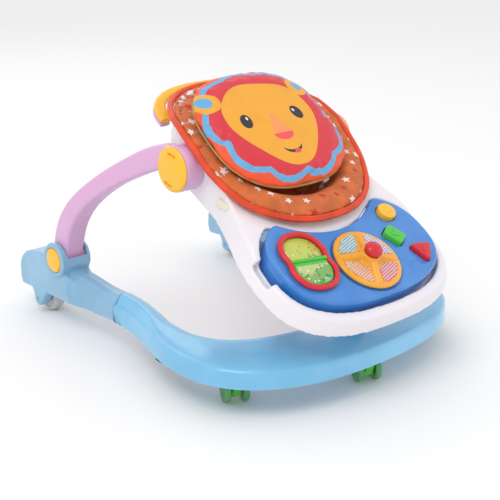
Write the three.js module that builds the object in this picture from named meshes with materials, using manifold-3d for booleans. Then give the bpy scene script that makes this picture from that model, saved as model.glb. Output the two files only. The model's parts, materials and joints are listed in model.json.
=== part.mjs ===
// A baby walker: a U-shaped rolling base, two pivoting arms, and a seat ring with a play tray.
// Millimetres, +Z up. The child faces -Y. The origin is on the floor, at the middle of the walker.
import * as THREE from "three";
import { mergeVertices } from "three/addons/utils/BufferGeometryUtils.js";
import Module from "manifold-3d";

const wasm = await Module();
wasm.setup();

// ---------------------------------------------------------------- driving dimensions
const GAP = 0.3; // clearance between neighbouring pieces
const HUB_Y = -34; // hub axis, where the seat turns in the arms
const HUB_Z = 337;
const SEAT_TILT = THREE.MathUtils.degToRad(31.5); // the seat and tray lean down to the front

const BASE_UNDER = 50; // underside of the base above the floor
const BASE_WALL = 3;
const BASE_SEAM = 110; // Y from the hub axis to the joint between base front and rear foot

const FOOT_OUT = 258; // outer face of a rear foot
const FOOT_IN = 200; // inner face
const PIVOT_Y = 262; // arm pivot, from the hub axis
const PIVOT_Z = 126;
const PIVOT_PIN = 6;
const BOSS_RADIUS = 32;
const AXLE_Y = 335;
const REAR_WHEEL_RADIUS = 28;
const REAR_WHEEL_X = 227;

const DRUM_RADIUS = 38.5;
const DRUM_OUT = 182.7; // drum of each arm, along X
const DRUM_IN = 150;
const KNOB_OUT = 190;
const BOLT_RADIUS = 6;

const CASTOR_RADIUS = 22;
const CASTOR_TRAIL = 14;
const CASTOR_TURN = THREE.MathUtils.degToRad(-25); // how the castors happen to stand
const CASTORS = [
  ["right", -210, -189],
  ["left", 210, -189],
  ["front", 0, -274],
];

// Seat and tray, in the tilted frame of the seat: x across, y towards the back, z out of the tray.
const TRAY_Y = -257; // middle of the tray
const TRAY_HALF = [182, 124]; // upper edge of the tray
const TRAY_FLARE = [197, 132]; // lower edge
const TRAY_POWER = 2.7;
const SIDE_X = 147; // half width of the body between the drums
const RING_Y = -14; // middle of the seat opening
const RING_REAR = 162;
const OPENING = [138, 152]; // seat opening, half width and half length
const CONSOLE_HALF = [163.4, 99.6];
const CONSOLE_POWER = 2.57;
const CONSOLE_TOP = 27;
const CONSOLE_FLOOR = -9;
const CONSOLE_SCOOP = [-54, 161]; // centre and radius of the hollow back edge
const RIM_HALF = [162, 178];
const RIM_BEAD = 5.5;
const DIAL = [0, -288];
const DIAL_RADIUS = 59.5;
const BOOK = [-106.5, -259];
const BOOK_HALF = [45, 58];
const BOOK_TURN = THREE.MathUtils.degToRad(-8);
const CUSHION_X = -9;
const CUSHION_Y = -8;
const CUSHION_Z = 62;
const CUSHION_HALF = [139, 127, 19];

// ---------------------------------------------------------------- materials
const plastic = (color, roughness = 0.35) =>
  new THREE.MeshStandardMaterial({ color, roughness, metalness: 0 });
const SKY = plastic(0x8fccee);
const DUSTY_BLUE = plastic(0x8fbbdd);
const MAUVE = plastic(0xd69acb);
const AMBER = plastic(0xfbb217);
const WHITE = plastic(0xece6ea);
const ROYAL = plastic(0x2f7bd2);
const RED = plastic(0xd3202f);
const GREEN = plastic(0x3fbf2b);
const CLEAR_GREEN = plastic(0x4e9b4a, 0.2);
const LIME = plastic(0x8bd63a);
const RUBBER = plastic(0x26282b, 0.8);
const ORANGE_CLOTH = plastic(0xd86a33, 0.9);
const RED_CLOTH = plastic(0xf04a12, 0.85);
const FACE_CLOTH = plastic(0xf2b02c, 0.7);
const CARD = plastic(0xc9dc74, 0.6);
const CLIP = plastic(0xe5dcc8, 0.4);
const BOARD = plastic(0x2c6b3c, 0.6);
const STEEL = new THREE.MeshStandardMaterial({ color: 0xb9bdc2, roughness: 0.3, metalness: 1 });

// ---------------------------------------------------------------- small helpers
const smooth = (a, b, t) => THREE.MathUtils.smoothstep(t, a, b);
const mix = THREE.MathUtils.lerp;

// A value that follows a list of [position, value] stops in straight lines.
function along(stops, at) {
  if (at <= stops[0][0]) return stops[0][1];
  for (let i = 1; i < stops.length; i++) {
    const [x0, y0] = stops[i - 1];
    const [x1, y1] = stops[i];
    if (at <= x1) return mix(y0, y1, (at - x0) / (x1 - x0));
  }
  return stops[stops.length - 1][1];
}

const signedPower = (value, power) => Math.sign(value) * Math.abs(value) ** power;

// Points of a superellipse, counter-clockwise from +x.
function superellipse([halfX, halfY], power, count, [x, y] = [0, 0]) {
  return Array.from({ length: count }, (_, i) => {
    const angle = (i / count) * 2 * Math.PI;
    return new THREE.Vector2(
      x + halfX * signedPower(Math.cos(angle), 2 / power),
      y + halfY * signedPower(Math.sin(angle), 2 / power),
    );
  });
}

// A closed surface through rings of equal point count; it ends in caps, or runs back to its start.
function loft(rings, { closed = false, cap = "fan" } = {}) {
  const count = rings[0].length;
  const points = rings.flat();
  const faces = [];
  const bands = closed ? rings.length : rings.length - 1;
  for (let i = 0; i < bands; i++) {
    const low = i * count;
    const high = ((i + 1) % rings.length) * count;
    for (let k = 0; k < count; k++) {
      const next = (k + 1) % count;
      faces.push(low + k, low + next, high + next, low + k, high + next, high + k);
    }
  }
  if (!closed) {
    const top = (rings.length - 1) * count;
    if (cap === "fan") {
      for (let k = 1; k < count - 1; k++) {
        faces.push(0, k + 1, k);
        faces.push(top, top + k, top + k + 1);
      }
    } else {
      // Strips across x join each point to its mirror image.
      for (let k = 0; k < count / 2; k++) {
        const a = k;
        const b = k + 1;
        const c = (count - k - 1) % count;
        const d = (count - k) % count;
        if (a !== d) faces.push(a, d, b, top + a, top + b, top + d);
        if (b !== c) faces.push(b, d, c, top + b, top + c, top + d);
      }
    }
  }
  const geometry = new THREE.BufferGeometry();
  const flat = points.flatMap((p) => [p.x, p.y, p.z]);
  geometry.setAttribute("position", new THREE.Float32BufferAttribute(flat, 3));
  geometry.setIndex(faces);
  return geometry;
}

function solid(geometry) {
  const bare = new THREE.BufferGeometry();
  bare.setAttribute("position", geometry.getAttribute("position"));
  bare.setIndex(geometry.index);
  const merged = mergeVertices(bare, 1e-3);
  return new wasm.Manifold(
    new wasm.Mesh({
      numProp: 3,
      vertProperties: merged.attributes.position.array,
      triVerts: new Uint32Array(merged.index.array),
    }),
  );
}

function geometryOf(made) {
  const mesh = made.getMesh();
  const geometry = new THREE.BufferGeometry();
  geometry.setAttribute("position", new THREE.BufferAttribute(mesh.vertProperties, 3));
  geometry.setIndex(new THREE.BufferAttribute(mesh.triVerts, 1));
  return geometry;
}

const box = (x0, x1, y0, y1, z0, z1) =>
  solid(
    new THREE.BoxGeometry(x1 - x0, y1 - y0, z1 - z0).translate(
      (x0 + x1) / 2,
      (y0 + y1) / 2,
      (z0 + z1) / 2,
    ),
  );

// A round bar along x, y or z between two places.
function bar(axis, radius, from, to, [u, v], sides = 32, radiusTo = radius) {
  const geometry = new THREE.CylinderGeometry(radiusTo, radius, to - from, sides);
  const middle = (from + to) / 2;
  if (axis === "x") geometry.rotateZ(-Math.PI / 2).translate(middle, u, v);
  else if (axis === "y") geometry.translate(u, middle, v);
  else geometry.rotateX(Math.PI / 2).translate(u, v, middle);
  return solid(geometry);
}

// An outline in x and y, drawn up along z, with rounded edges inside its height.
function slab(points, z0, z1, round = 0, holes = []) {
  const shape = new THREE.Shape(points);
  holes.forEach((hole) => shape.holes.push(new THREE.Path(hole)));
  return new THREE.ExtrudeGeometry(shape, {
    depth: z1 - z0 - 2 * round,
    bevelEnabled: round > 0,
    bevelThickness: round,
    bevelSize: round,
    bevelOffset: -round,
    bevelSegments: 1,
    curveSegments: 12,
  }).translate(0, 0, z0 + round);
}

// An outline in y and z, drawn along x.
function sideSlab(points, x0, x1, round = 0) {
  const geometry = slab(points, x0, x1, round);
  geometry.applyMatrix4(new THREE.Matrix4().set(0, 0, 1, 0, 1, 0, 0, 0, 0, 1, 0, 0, 0, 0, 0, 1));
  return solid(geometry);
}

function mirrored(made) {
  return made.mirror([1, 0, 0]);
}

const walker = new THREE.Group();
const level = new THREE.Group(); // everything that stands level; its Y runs from the hub axis
level.position.y = HUB_Y;
const seat = new THREE.Group(); // the tilted seat and tray
seat.position.z = HUB_Z;
seat.rotation.x = SEAT_TILT;
level.add(seat);
walker.add(level);

function piece(group, name, made, material) {
  const geometry = made.isBufferGeometry ? made : geometryOf(made);
  const mesh = new THREE.Mesh(geometry, material);
  mesh.name = name;
  group.add(mesh);
  return mesh;
}

// The same solid on both sides; the sides are the child's own left (+x) and right (-x).
function pair(group, name, made, material) {
  piece(group, `${name}_right`, made, material);
  piece(group, `${name}_left`, mirrored(made), material);
}

// ---------------------------------------------------------------- base
// Outer and inner edge of the U at a parameter that runs 0..1 from the front middle to the seam.
const FRONT_SHARE = 0.62;
function baseEdges(t) {
  const front = Math.min(t / FRONT_SHARE, 1) * (Math.PI / 2);
  const back = Math.max((t - FRONT_SHARE) / (1 - FRONT_SHARE), 0);
  const power = 2 / 2.4;
  const outer = new THREE.Vector2(
    -276.5 * Math.sin(front) ** power,
    -117 - 188 * Math.cos(front) ** power,
  );
  const inner = new THREE.Vector2(
    -212 * Math.sin(front) ** power,
    -70 - 116 * Math.cos(front) ** power,
  );
  if (back > 0) {
    const squeeze = smooth(0, 0.9, back);
    outer.set(mix(-276.5, -239, squeeze), mix(-117, BASE_SEAM - GAP, back));
    inner.set(mix(-212, -194, smooth(0, 1, back)), mix(-70, BASE_SEAM - GAP, back));
  }
  return { outer, inner };
}

// Section of the base from its outer edge to its inner one: [share of the width, height].
function baseSection(t, inset) {
  const { outer, inner } = baseEdges(t);
  const width = outer.distanceTo(inner);
  const ridge = mix(0.5, 0.88, smooth(50, 100, width));
  const ridgeZ = mix(97, 90, smooth(45, 70, width));
  const step = (mm) => mm / width;
  const top = [
    [0, BASE_UNDER],
    [0, 73],
    [step(2), 78],
    [step(6), 81],
    [mix(step(6), ridge, 0.5), mix(81, ridgeZ, 0.62) + 0.8],
    [ridge, ridgeZ],
    [mix(ridge, 1, 0.55), ridgeZ - 2],
    [1 - step(2), ridgeZ - 6],
    [1, ridgeZ - 12],
    [1, BASE_UNDER],
  ];
  const cut = (share) => mix(step(inset), 1 - step(inset), share);
  const hollow = top.map(([share, z]) => [cut(share), z === BASE_UNDER ? z - 1 : z - inset]);
  const section = inset ? hollow : top;
  return section.map(([share, z]) => {
    const at = outer.clone().lerp(inner, share);
    return new THREE.Vector3(at.x, at.y, z);
  });
}

function baseLoft(inset, overrun = 0) {
  const steps = 14;
  const rings = [];
  for (let i = -steps; i <= steps; i++) {
    const ring = baseSection(Math.abs(i) / steps, inset);
    if (Math.abs(i) === steps) ring.forEach((p) => (p.y += overrun));
    if (i > 0) ring.forEach((p) => (p.x = -p.x));
    rings.push(ring);
  }
  return solid(loft(rings.reverse()));
}

function baseFront() {
  const envelope = baseLoft(0);
  let shell = envelope.subtract(baseLoft(BASE_WALL, 1));
  for (const [, x, y] of CASTORS) {
    shell = shell.add(bar("z", 11, BASE_UNDER + 0.5, 95, [x, y], 14).intersect(envelope));
    shell = shell.subtract(bar("z", 4.6, BASE_UNDER - 1, 76, [x, y], 12));
  }
  for (const x of [-246, 246]) {
    shell = shell.add(box(x - 7, x + 7, -58, -38, BASE_UNDER + 0.5, 95).intersect(envelope));
    shell = shell.subtract(box(x - 3.3, x + 3.3, -54.3, -41.7, BASE_UNDER - 1, 62.5));
  }
  return shell;
}

function frontPost() {
  const back = superellipse([30, 14], 4, 16, [0, -232]);
  const sides = back.map((p) => new THREE.Vector3(p.x, p.y, 89.3));
  const upper = back.map((p) => new THREE.Vector3(p.x * 0.8, p.y + 4, trayUnder(p.y + 4) - 5));
  return solid(loft([sides, upper]));
}

// Height of the underside of the tray above the floor at a distance from the hub axis.
const trayUnder = (y) => HUB_Z + (y * Math.sin(SEAT_TILT) - 14) / Math.cos(SEAT_TILT);

function postPad() {
  const ring = superellipse([20, 8], 4, 16, [0, -228]);
  const low = ring.map((p) => new THREE.Vector3(p.x, p.y, trayUnder(p.y) - 4.6));
  const high = ring.map((p) => new THREE.Vector3(p.x, p.y, trayUnder(p.y) - 0.6));
  return solid(loft([low, high]));
}

function castor(side, x, y) {
  const group = new THREE.Group();
  group.position.set(x, y, 0);
  group.rotation.z = CASTOR_TURN;
  level.add(group);
  const neck = BASE_UNDER - 0.6;
  let fork = bar("x", 12, -8.5, 8.5, [CASTOR_TRAIL, CASTOR_RADIUS], 14);
  fork = fork.add(bar("z", 12, 44.6, neck, [0, 0], 12));
  fork = fork.add(box(-7.5, 7.5, -9, CASTOR_TRAIL + 9, CASTOR_RADIUS, 45));
  fork = fork.add(bar("z", 4, 40, 74, [0, 0], 8));
  fork = fork.add(bar("x", 2.4, -20.5, 20.5, [CASTOR_TRAIL, CASTOR_RADIUS], 8));
  piece(group, `castor_fork_${side}`, fork, GREEN);
  for (const [end, sign] of [["a", -1], ["b", 1]]) {
    const wheel = new THREE.LatheGeometry(wheelProfile(CASTOR_RADIUS, 11, 2.8, 13), 14);
    wheel.rotateZ(-Math.PI / 2).translate(sign * 15.2, CASTOR_TRAIL, CASTOR_RADIUS);
    piece(group, `castor_wheel_${side}_${end}`, wheel, CLEAR_GREEN);
  }
}

// Profile of a wheel round its axis: a bore, a dished side and a rounded tread.
function wheelProfile(radius, width, bore, dish) {
  const half = width / 2;
  const points = [
    [bore, -half],
    [dish * 0.6, -half],
    [dish, -half + 1.5],
    [radius - 2, -half],
    [radius, -half * 0.5],
    [radius, half * 0.5],
    [radius - 2, half],
    [dish, half - 1.5],
    [dish * 0.6, half],
    [bore, half],
    [bore, -half],
  ];
  return points.map(([r, x]) => new THREE.Vector2(r, x));
}

function stopper() {
  const y = -48;
  const outline = superellipse([13, 22], 4, 12, [-246, y]);
  const holder = solid(slab(outline, 40, BASE_UNDER - GAP, 1.5)).add(
    box(-249, -243, y - 6, y + 6, BASE_UNDER - 1, 62),
  );
  pair(level, "stopper_holder", holder, LIME);
  const pad = solid(slab(superellipse([9, 18], 4, 12, [-246, y]), 34, 40 - GAP, 1));
  pair(level, "stopper_pad", pad, RUBBER);
}

// ---------------------------------------------------------------- rear feet
function rearFoot() {
  // The nose runs from the seam up to the hinge housing.
  const stations = [0, 0.2, 0.4, 0.6, 0.8, 1].map((t) => {
    const y = mix(BASE_SEAM, 236, t);
    const outX = along([[BASE_SEAM, -239], [186, -246], [236, -FOOT_OUT + 1]], y);
    const inX = along([[BASE_SEAM, -194], [236, -FOOT_IN - 1]], y);
    const top = mix(97, 108, smooth(0.2, 1, t));
    const shoulder = mix(76, 92, smooth(0.3, 1, t));
    return [
      [outX, BASE_UNDER],
      [outX, shoulder],
      [outX + 3, shoulder + 5],
      [mix(outX, inX, 0.3), mix(shoulder + 5, top, 0.8)],
      [mix(outX, inX, 0.5), top],
      [mix(outX, inX, 0.78), top - 2],
      [inX, top - 13],
      [inX, BASE_UNDER],
    ].map(([x, z]) => new THREE.Vector3(x, y, z));
  });
  let foot = solid(loft(stations));

  const boss = Array.from({ length: 9 }, (_, i) => {
    const angle = (i / 8) * 1.25 * Math.PI - 0.02 * Math.PI;
    return new THREE.Vector2(
      PIVOT_Y + BOSS_RADIUS * Math.cos(angle),
      PIVOT_Z + BOSS_RADIUS * Math.sin(angle),
    );
  });
  const housing = [
    new THREE.Vector2(222, BASE_UNDER),
    new THREE.Vector2(393, 42),
    new THREE.Vector2(398, 60),
    new THREE.Vector2(397, 84),
    new THREE.Vector2(389, 100),
    new THREE.Vector2(375, 112),
    new THREE.Vector2(350, 121),
    new THREE.Vector2(318, 126),
    ...boss,
    new THREE.Vector2(226, 96),
  ];
  foot = foot.add(sideSlab(housing, -FOOT_OUT, -FOOT_IN, 4));
  foot = foot.add(sideSlab(ear(), -FOOT_OUT, -FOOT_IN, 2));
  const pivot = [PIVOT_Y, PIVOT_Z];
  const axle = [AXLE_Y, REAR_WHEEL_RADIUS];
  const well = REAR_WHEEL_RADIUS + 3;
  foot = foot.add(bar("x", BOSS_RADIUS - 3, -FOOT_OUT - 4, -FOOT_OUT + 2, pivot, 20, BOSS_RADIUS));
  // Slot for the arm, wheel well, cap recess, pin bore and axle bore.
  foot = foot.subtract(bar("x", 27.5, -249.8, -207.2, pivot, 20));
  foot = foot.subtract(armSweep());
  foot = foot.subtract(bar("x", well, -239.5, -214.5, axle, 20));
  foot = foot.subtract(box(-239.5, -214.5, AXLE_Y - well, AXLE_Y + well, 0, REAR_WHEEL_RADIUS));
  foot = foot.subtract(bar("x", 23.4, -FOOT_OUT - 5, -FOOT_OUT, pivot, 20));
  foot = foot.subtract(bar("x", PIVOT_PIN + GAP, -FOOT_OUT - 5, -FOOT_IN + 5, pivot, 14));
  foot = foot.subtract(bar("x", 3.4, -FOOT_OUT - 5, -FOOT_IN + 5, axle, 10));
  // Tongue that plugs into the open end of the base front.
  foot = foot.add(box(-233, -201, BASE_SEAM - 34, BASE_SEAM + 6, 54, 70));
  return foot;
}

function ear() {
  const points = [new THREE.Vector2(305, 46)];
  for (let i = 0; i <= 6; i++) {
    const angle = mix(-0.86, 0.1, i / 6) * Math.PI;
    const reach = new THREE.Vector2(Math.cos(angle), Math.sin(angle)).multiplyScalar(14);
    points.push(reach.add(new THREE.Vector2(AXLE_Y, REAR_WHEEL_RADIUS)));
  }
  points.push(new THREE.Vector2(356, 46), new THREE.Vector2(356, 70), new THREE.Vector2(305, 70));
  return points;
}

// The room that the arm needs above the foot, from its rest place to its raised one.
function armSweep() {
  const outline = [
    [236, 112],
    [226, 180],
    [300, 180],
    [318, 150],
    [290, 126],
    [262, 100],
  ].map(([y, z]) => new THREE.Vector2(y, z));
  return sideSlab(outline.reverse(), -249.8, -207.2);
}

function rearWheel() {
  const wheel = new THREE.LatheGeometry(wheelProfile(REAR_WHEEL_RADIUS, 22, 3.6, 17), 20);
  wheel.rotateZ(-Math.PI / 2).translate(-REAR_WHEEL_X, AXLE_Y, REAR_WHEEL_RADIUS);
  return solid(wheel);
}

// ---------------------------------------------------------------- arms
const ARM_LINE = [
  [262, 126, 22.5],
  [260, 150, 22.5],
  [250, 180, 22],
  [232, 212, 20],
  [207, 243, 18],
  [176, 272, 17],
  [142, 298, 17.5],
  [106, 320, 19],
  [70, 338, 20.5],
  [34, 349, 21.5],
  [6, 352, 22],
];

function arm() {
  const line = new THREE.CatmullRomCurve3(ARM_LINE.map(([y, z]) => new THREE.Vector3(0, y, z)));
  const steps = 13;
  const rings = [];
  for (let i = 0; i <= steps; i++) {
    const t = i / steps;
    const at = line.getPoint(t);
    const ahead = line.getTangent(t);
    const half = along(ARM_LINE.map(([, , w], k) => [k / (ARM_LINE.length - 1), w]), t);
    const outX = -mix(182.4, 249.3, smooth(46, 250, at.y));
    const inX = outX + mix(27, 41.8, smooth(60, 260, at.y));
    const across = new THREE.Vector3(0, ahead.z, -ahead.y);
    const ring = superellipse([1, 1], 4.5, 12).map((p) => {
      const spot = at.clone().addScaledVector(across, p.y * half);
      spot.x = mix(outX, inX, (p.x + 1) / 2);
      return spot;
    });
    rings.push(ring);
  }
  let made = solid(loft(rings));
  made = made.add(bar("x", 24, -249.3, -207.5, [PIVOT_Y, PIVOT_Z], 20));
  made = made.add(drum());
  made = made.subtract(bar("x", PIVOT_PIN + GAP, -260, -200, [PIVOT_Y, PIVOT_Z], 14));
  made = made.subtract(bar("x", BOLT_RADIUS + GAP, -200, -140, [0, HUB_Z], 14));
  return made;
}

function drum() {
  return bar("x", DRUM_RADIUS, -DRUM_OUT, -DRUM_IN, [0, HUB_Z], 26);
}

function hubKnob() {
  const profile = [
    [0, 0],
    [36, 0],
    [38, 2],
    [38, 5],
    [35.5, 7],
    [0, 7.6],
  ].map(([r, x]) => new THREE.Vector2(r, x));
  const disc = new THREE.LatheGeometry(profile, 26);
  disc.rotateZ(Math.PI / 2).translate(-DRUM_OUT - GAP, 0, HUB_Z);
  let knob = solid(disc);
  // Two curved finger slots face each other across the knob.
  for (const start of [0.32, 1.32]) {
    const arc = [];
    for (const [radius, from, to] of [[27, 0, 6], [23, 6, 0]]) {
      for (let i = 0; i <= 4; i++) {
        const angle = (start + 0.24 * (mix(from, to, i / 4) / 6)) * Math.PI;
        arc.push(new THREE.Vector2(radius * Math.cos(angle), HUB_Z + radius * Math.sin(angle)));
      }
    }
    knob = knob.subtract(sideSlab(arc, -KNOB_OUT - 3, -KNOB_OUT + 2.5));
  }
  return knob;
}

// ---------------------------------------------------------------- seat ring and tray
const RING_TOP = [
  [-226, 13],
  [-196, 22],
  [-130, 20],
  [-60, 29],
  [-10, 37],
  [60, 35],
  [110, 27],
  [170, 12],
];
const RING_UNDER = [
  [-240, -14],
  [-160, -22],
  [-110, -30],
  [-60, -38],
  [0, -42],
  [60, -30],
  [120, -10],
  [170, -8],
];

// Plan of the body, mirrored about x = 0: round tray, narrow waist, round back.
function bodyOutline([halfX, halfY], sideX, rear, zAt) {
  const half = [];
  const power = 2 / TRAY_POWER;
  for (let i = 0; i <= 10; i++) {
    const angle = (i / 10) * (Math.PI / 2);
    half.push([halfX * Math.sin(angle) ** power, TRAY_Y - halfY * Math.cos(angle) ** power]);
  }
  for (let i = 1; i <= 9; i++) {
    const y = mix(TRAY_Y, RING_Y, i / 9);
    half.push([mix(halfX, sideX, smooth(TRAY_Y, -60, y)), y]);
  }
  for (let i = 1; i <= 9; i++) {
    const angle = (i / 9) * (Math.PI / 2);
    half.push([sideX * Math.cos(angle) ** 0.85, RING_Y + rear * Math.sin(angle) ** 0.85]);
  }
  half[half.length - 1][0] = 0;
  const whole = [...half, ...half.slice(1, -1).reverse().map(([x, y]) => [-x, y])];
  return whole.map(([x, y]) => new THREE.Vector3(x, y, zAt(y)));
}

function seatTrayBody() {
  const top = (drop) => (y) => along(RING_TOP, y) - drop;
  const under = (rise) => (y) => along(RING_UNDER, y) + rise;
  const [hx, hy] = TRAY_HALF;
  const outer = solid(
    loft(
      [
        bodyOutline(TRAY_FLARE, SIDE_X, RING_REAR, under(0)),
        bodyOutline([hx + 1, hy + 1], SIDE_X, RING_REAR, top(5)),
        bodyOutline([hx - 2, hy - 2], SIDE_X, RING_REAR, top(1)),
        bodyOutline([hx - 5, hy - 5], SIDE_X - 2, RING_REAR - 2, top(0)),
      ],
      { cap: "strips" },
    ),
  );
  const wall = 4;
  const inside = solid(
    loft(
      [
        bodyOutline(TRAY_FLARE.map((h) => h - wall), SIDE_X - wall, RING_REAR - wall, under(-1)),
        bodyOutline([hx - wall, hy - wall], SIDE_X - wall, RING_REAR - wall, top(9)),
      ],
      { cap: "strips" },
    ),
  );
  const hole = superellipse(OPENING, 2.3, 36, [0, RING_Y]);
  const holeWall = superellipse(OPENING.map((h) => h + wall), 2.3, 36, [0, RING_Y]);
  const recess = consoleOutline(7, 1);
  const pan = consoleOutline(11, -4);
  const hollow = inside
    .subtract(solid(slab(pan, CONSOLE_FLOOR - wall, 60)))
    .subtract(solid(slab(holeWall, -80, 60)));
  let body = outer.subtract(hollow);
  // Flange that the fabric seat lies on.
  const flange = superellipse([157, 171], 2.3, 36, [0, RING_Y]);
  body = body.add(raised(slab(flange, 0, 4)));
  body = body.subtract(solid(slab(recess, CONSOLE_FLOOR, 70)));
  body = body.subtract(solid(slab(hole, -80, 80)));
  for (const side of [-1, 1]) {
    const notch = [side * 192, side * 166].sort((a, b) => a - b);
    body = body.subtract(box(notch[0], notch[1], -268, -222, 2, 40));
    const lug = [side * 149.6, side * 140].sort((a, b) => a - b);
    body = body.add(bar("x", 36, lug[0], lug[1], [0, 0], 20));
    const room = [side * 200, side * 149.6].sort((a, b) => a - b);
    body = body.subtract(bar("x", DRUM_RADIUS + 1, room[0], room[1], [0, 0], 24));
    const bore = [side * 130, side * 160].sort((a, b) => a - b);
    body = body.subtract(bar("x", BOLT_RADIUS + GAP, bore[0], bore[1], [0, 0], 12));
  }
  return largest(body.subtract(solid(slab(hole, -80, 80))));
}

// The biggest separate body of a solid, without closed pockets.
function largest(made) {
  return made.decompose().sort((a, b) => b.volume() - a.volume())[0];
}

// Lifts a flat slab so that it follows the top of the ring.
function raised(geometry) {
  const at = geometry.getAttribute("position");
  for (let i = 0; i < at.count; i++) {
    at.setZ(i, at.getZ(i) + along(RING_TOP, at.getY(i)) - 2);
  }
  return solid(geometry);
}

// Outline of the console grown by a margin, with its hollow back edge.
function consoleOutline(grow, scoopGrow = grow) {
  const [halfX, halfY] = CONSOLE_HALF;
  const [scoopY, scoopRadius] = CONSOLE_SCOOP;
  const radius = scoopRadius - scoopGrow;
  const points = superellipse([halfX + grow, halfY + grow], CONSOLE_POWER, 44, [0, TRAY_Y]);
  const clear = (p) => Math.hypot(p.x, p.y - scoopY) >= radius;
  const first = points.findIndex((p) => !clear(p));
  const last = points.length - 1 - [...points].reverse().findIndex((p) => !clear(p));
  const start = points[first - 1];
  const from = Math.atan2(start.y - scoopY, start.x);
  const scoop = [];
  for (let i = 1; i < 8; i++) {
    const angle = mix(from, -Math.PI - from, i / 8);
    scoop.push(new THREE.Vector2(radius * Math.cos(angle), scoopY + radius * Math.sin(angle)));
  }
  return [...points.slice(0, first), ...scoop, ...points.slice(last + 1)];
}

function seatRim() {
  const steps = 44;
  const rings = [];
  for (let i = 0; i < steps; i++) {
    const angle = (i / steps) * 2 * Math.PI;
    const power = 2 / 2.3;
    const x = RIM_HALF[0] * signedPower(Math.cos(angle), power);
    const y = RING_Y + RIM_HALF[1] * signedPower(Math.sin(angle), power);
    const outward = new THREE.Vector2(Math.cos(angle), Math.sin(angle) * 0.95).normalize();
    const z = rimHeight(y);
    const ring = [];
    for (let k = 0; k < 6; k++) {
      const turn = (k / 6) * 2 * Math.PI;
      const out = RIM_BEAD * Math.cos(turn);
      ring.push(
        new THREE.Vector3(x + outward.x * out, y + outward.y * out, z + RIM_BEAD * Math.sin(turn)),
      );
    }
    rings.push(ring);
  }
  return solid(loft(rings.reverse(), { closed: true }));
}

const RIM_STOPS = [[-195, 34], [-122, 31], [-50, 38], [0, 46], [50, 43], [90, 32], [140, 18], [170, 9]];
const rimHeight = (y) => along(RIM_STOPS, y);

// Padded cloth seat: a collar inside the rim, a bucket below it and two leg openings.
function seatPad() {
  const profile = [
    [80, -92],
    [106, -50],
    [122, -14],
    [131, 0],
    [136, 7.5],
    [153, 7.5],
    [154, 10],
    [150, 16],
    [141, 24],
    [126, 25],
    [113, 17],
    [108, 4],
    [98, -46],
    [75, -84],
  ];
  const rings = profile.map(([reach, z]) =>
    superellipse([reach, reach * 1.1], 2.3, 30).map((p) => {
      const y = p.y + RING_Y;
      const lift = (along(RING_TOP, y) - 1.4) * smooth(-60, 4, z);
      const crown = z > 9 ? mix(1, 0.5, smooth(-150, -60, y)) : 1;
      return new THREE.Vector3(p.x, y, z * crown + lift);
    }),
  );
  let pad = solid(loft(rings));
  for (const x of [-42, 42]) {
    pad = pad.subtract(bar("y", 27, -170, -30, [x, -48], 14));
  }
  return pad;
}

function seatClip(angle) {
  const power = 2 / 2.3;
  const x = 158 * signedPower(Math.cos(angle), power);
  const y = RING_Y + 173 * signedPower(Math.sin(angle), power);
  const low = along(RING_TOP, y) + 3.2;
  const high = rimHeight(y) - RIM_BEAD - 1;
  const block = new THREE.BoxGeometry(6, 24, high - low);
  block.rotateZ(Math.atan2(Math.sin(angle) * 0.92, Math.cos(angle)));
  return solid(block.translate(x, y, (low + high) / 2));
}

function headCushion() {
  const [halfX, halfY, halfZ] = CUSHION_HALF;
  const rings = [];
  const levels = [-1, -0.85, -0.5, 0, 0.5, 0.85, 1];
  for (const t of levels) {
    const share = t * t === 1 ? 0.55 : (1 - Math.abs(t) ** 3.2) ** 0.4;
    rings.push(
      superellipse([halfX * share, halfY * share], 2.5, 28).map(
        (p) => new THREE.Vector3(CUSHION_X + p.x, CUSHION_Y + p.y, CUSHION_Z + halfZ * t + p.y * 0.1),
      ),
    );
  }
  return solid(loft(rings));
}

// Grab loop behind the seat ring: an upper shell and a lower one.
function handle(z0, z1, inset, round) {
  const outline = [];
  const outer = superellipse([132 - inset, 76 - inset], 2.6, 28, [0, 112]);
  const inner = superellipse([110 + inset, 62 + inset], 2.6, 28, [0, 112]);
  const back = (p) => p.y >= 112 - 1e-6;
  outline.push(...outer.filter(back), ...inner.filter(back).reverse());
  return slab(outline, z0, z1, round);
}

// ---------------------------------------------------------------- play console
const TOP_SKIN = 3.5;

function bookOutline(grow, count = 24) {
  const turn = new THREE.Vector2();
  return superellipse([BOOK_HALF[0] + grow, BOOK_HALF[1] + grow], 2.4, count).map((p) => {
    const spot = p.clone().rotateAround(turn, BOOK_TURN);
    return spot.set(spot.x + BOOK[0], spot.y + BOOK[1]);
  });
}

const BUTTONS = {
  round: superellipse([16.5, 16.5], 2, 24, [110, -213]),
  square: turned(superellipse([13.5, 17.5], 6, 20), 30, [86, -261]),
  triangle: turned(roundTriangle(21), -12, [116, -304]),
};

function turned(points, degrees, [x, y]) {
  const centre = new THREE.Vector2();
  const angle = THREE.MathUtils.degToRad(degrees);
  return points.map((p) => p.clone().rotateAround(centre, angle).add(new THREE.Vector2(x, y)));
}

function roundTriangle(reach) {
  const points = [];
  for (let corner = 0; corner < 3; corner++) {
    const middle = (corner / 3) * 2 * Math.PI - Math.PI / 2;
    for (const step of [-0.6, -0.2, 0.2, 0.6]) {
      points.push(
        new THREE.Vector2(
          reach * Math.cos(middle) + 5 * Math.cos(middle + step * 1.7),
          reach * Math.sin(middle) + 5 * Math.sin(middle + step * 1.7),
        ),
      );
    }
  }
  return points;
}

const middleOf = (points) =>
  points.reduce((sum, p) => sum.add(p), new THREE.Vector2()).divideScalar(points.length);

function grown(points, amount) {
  const centre = middleOf(points);
  return points.map((p) => {
    const away = p.clone().sub(centre);
    return centre.clone().addScaledVector(away, 1 + amount / away.length());
  });
}

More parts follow.
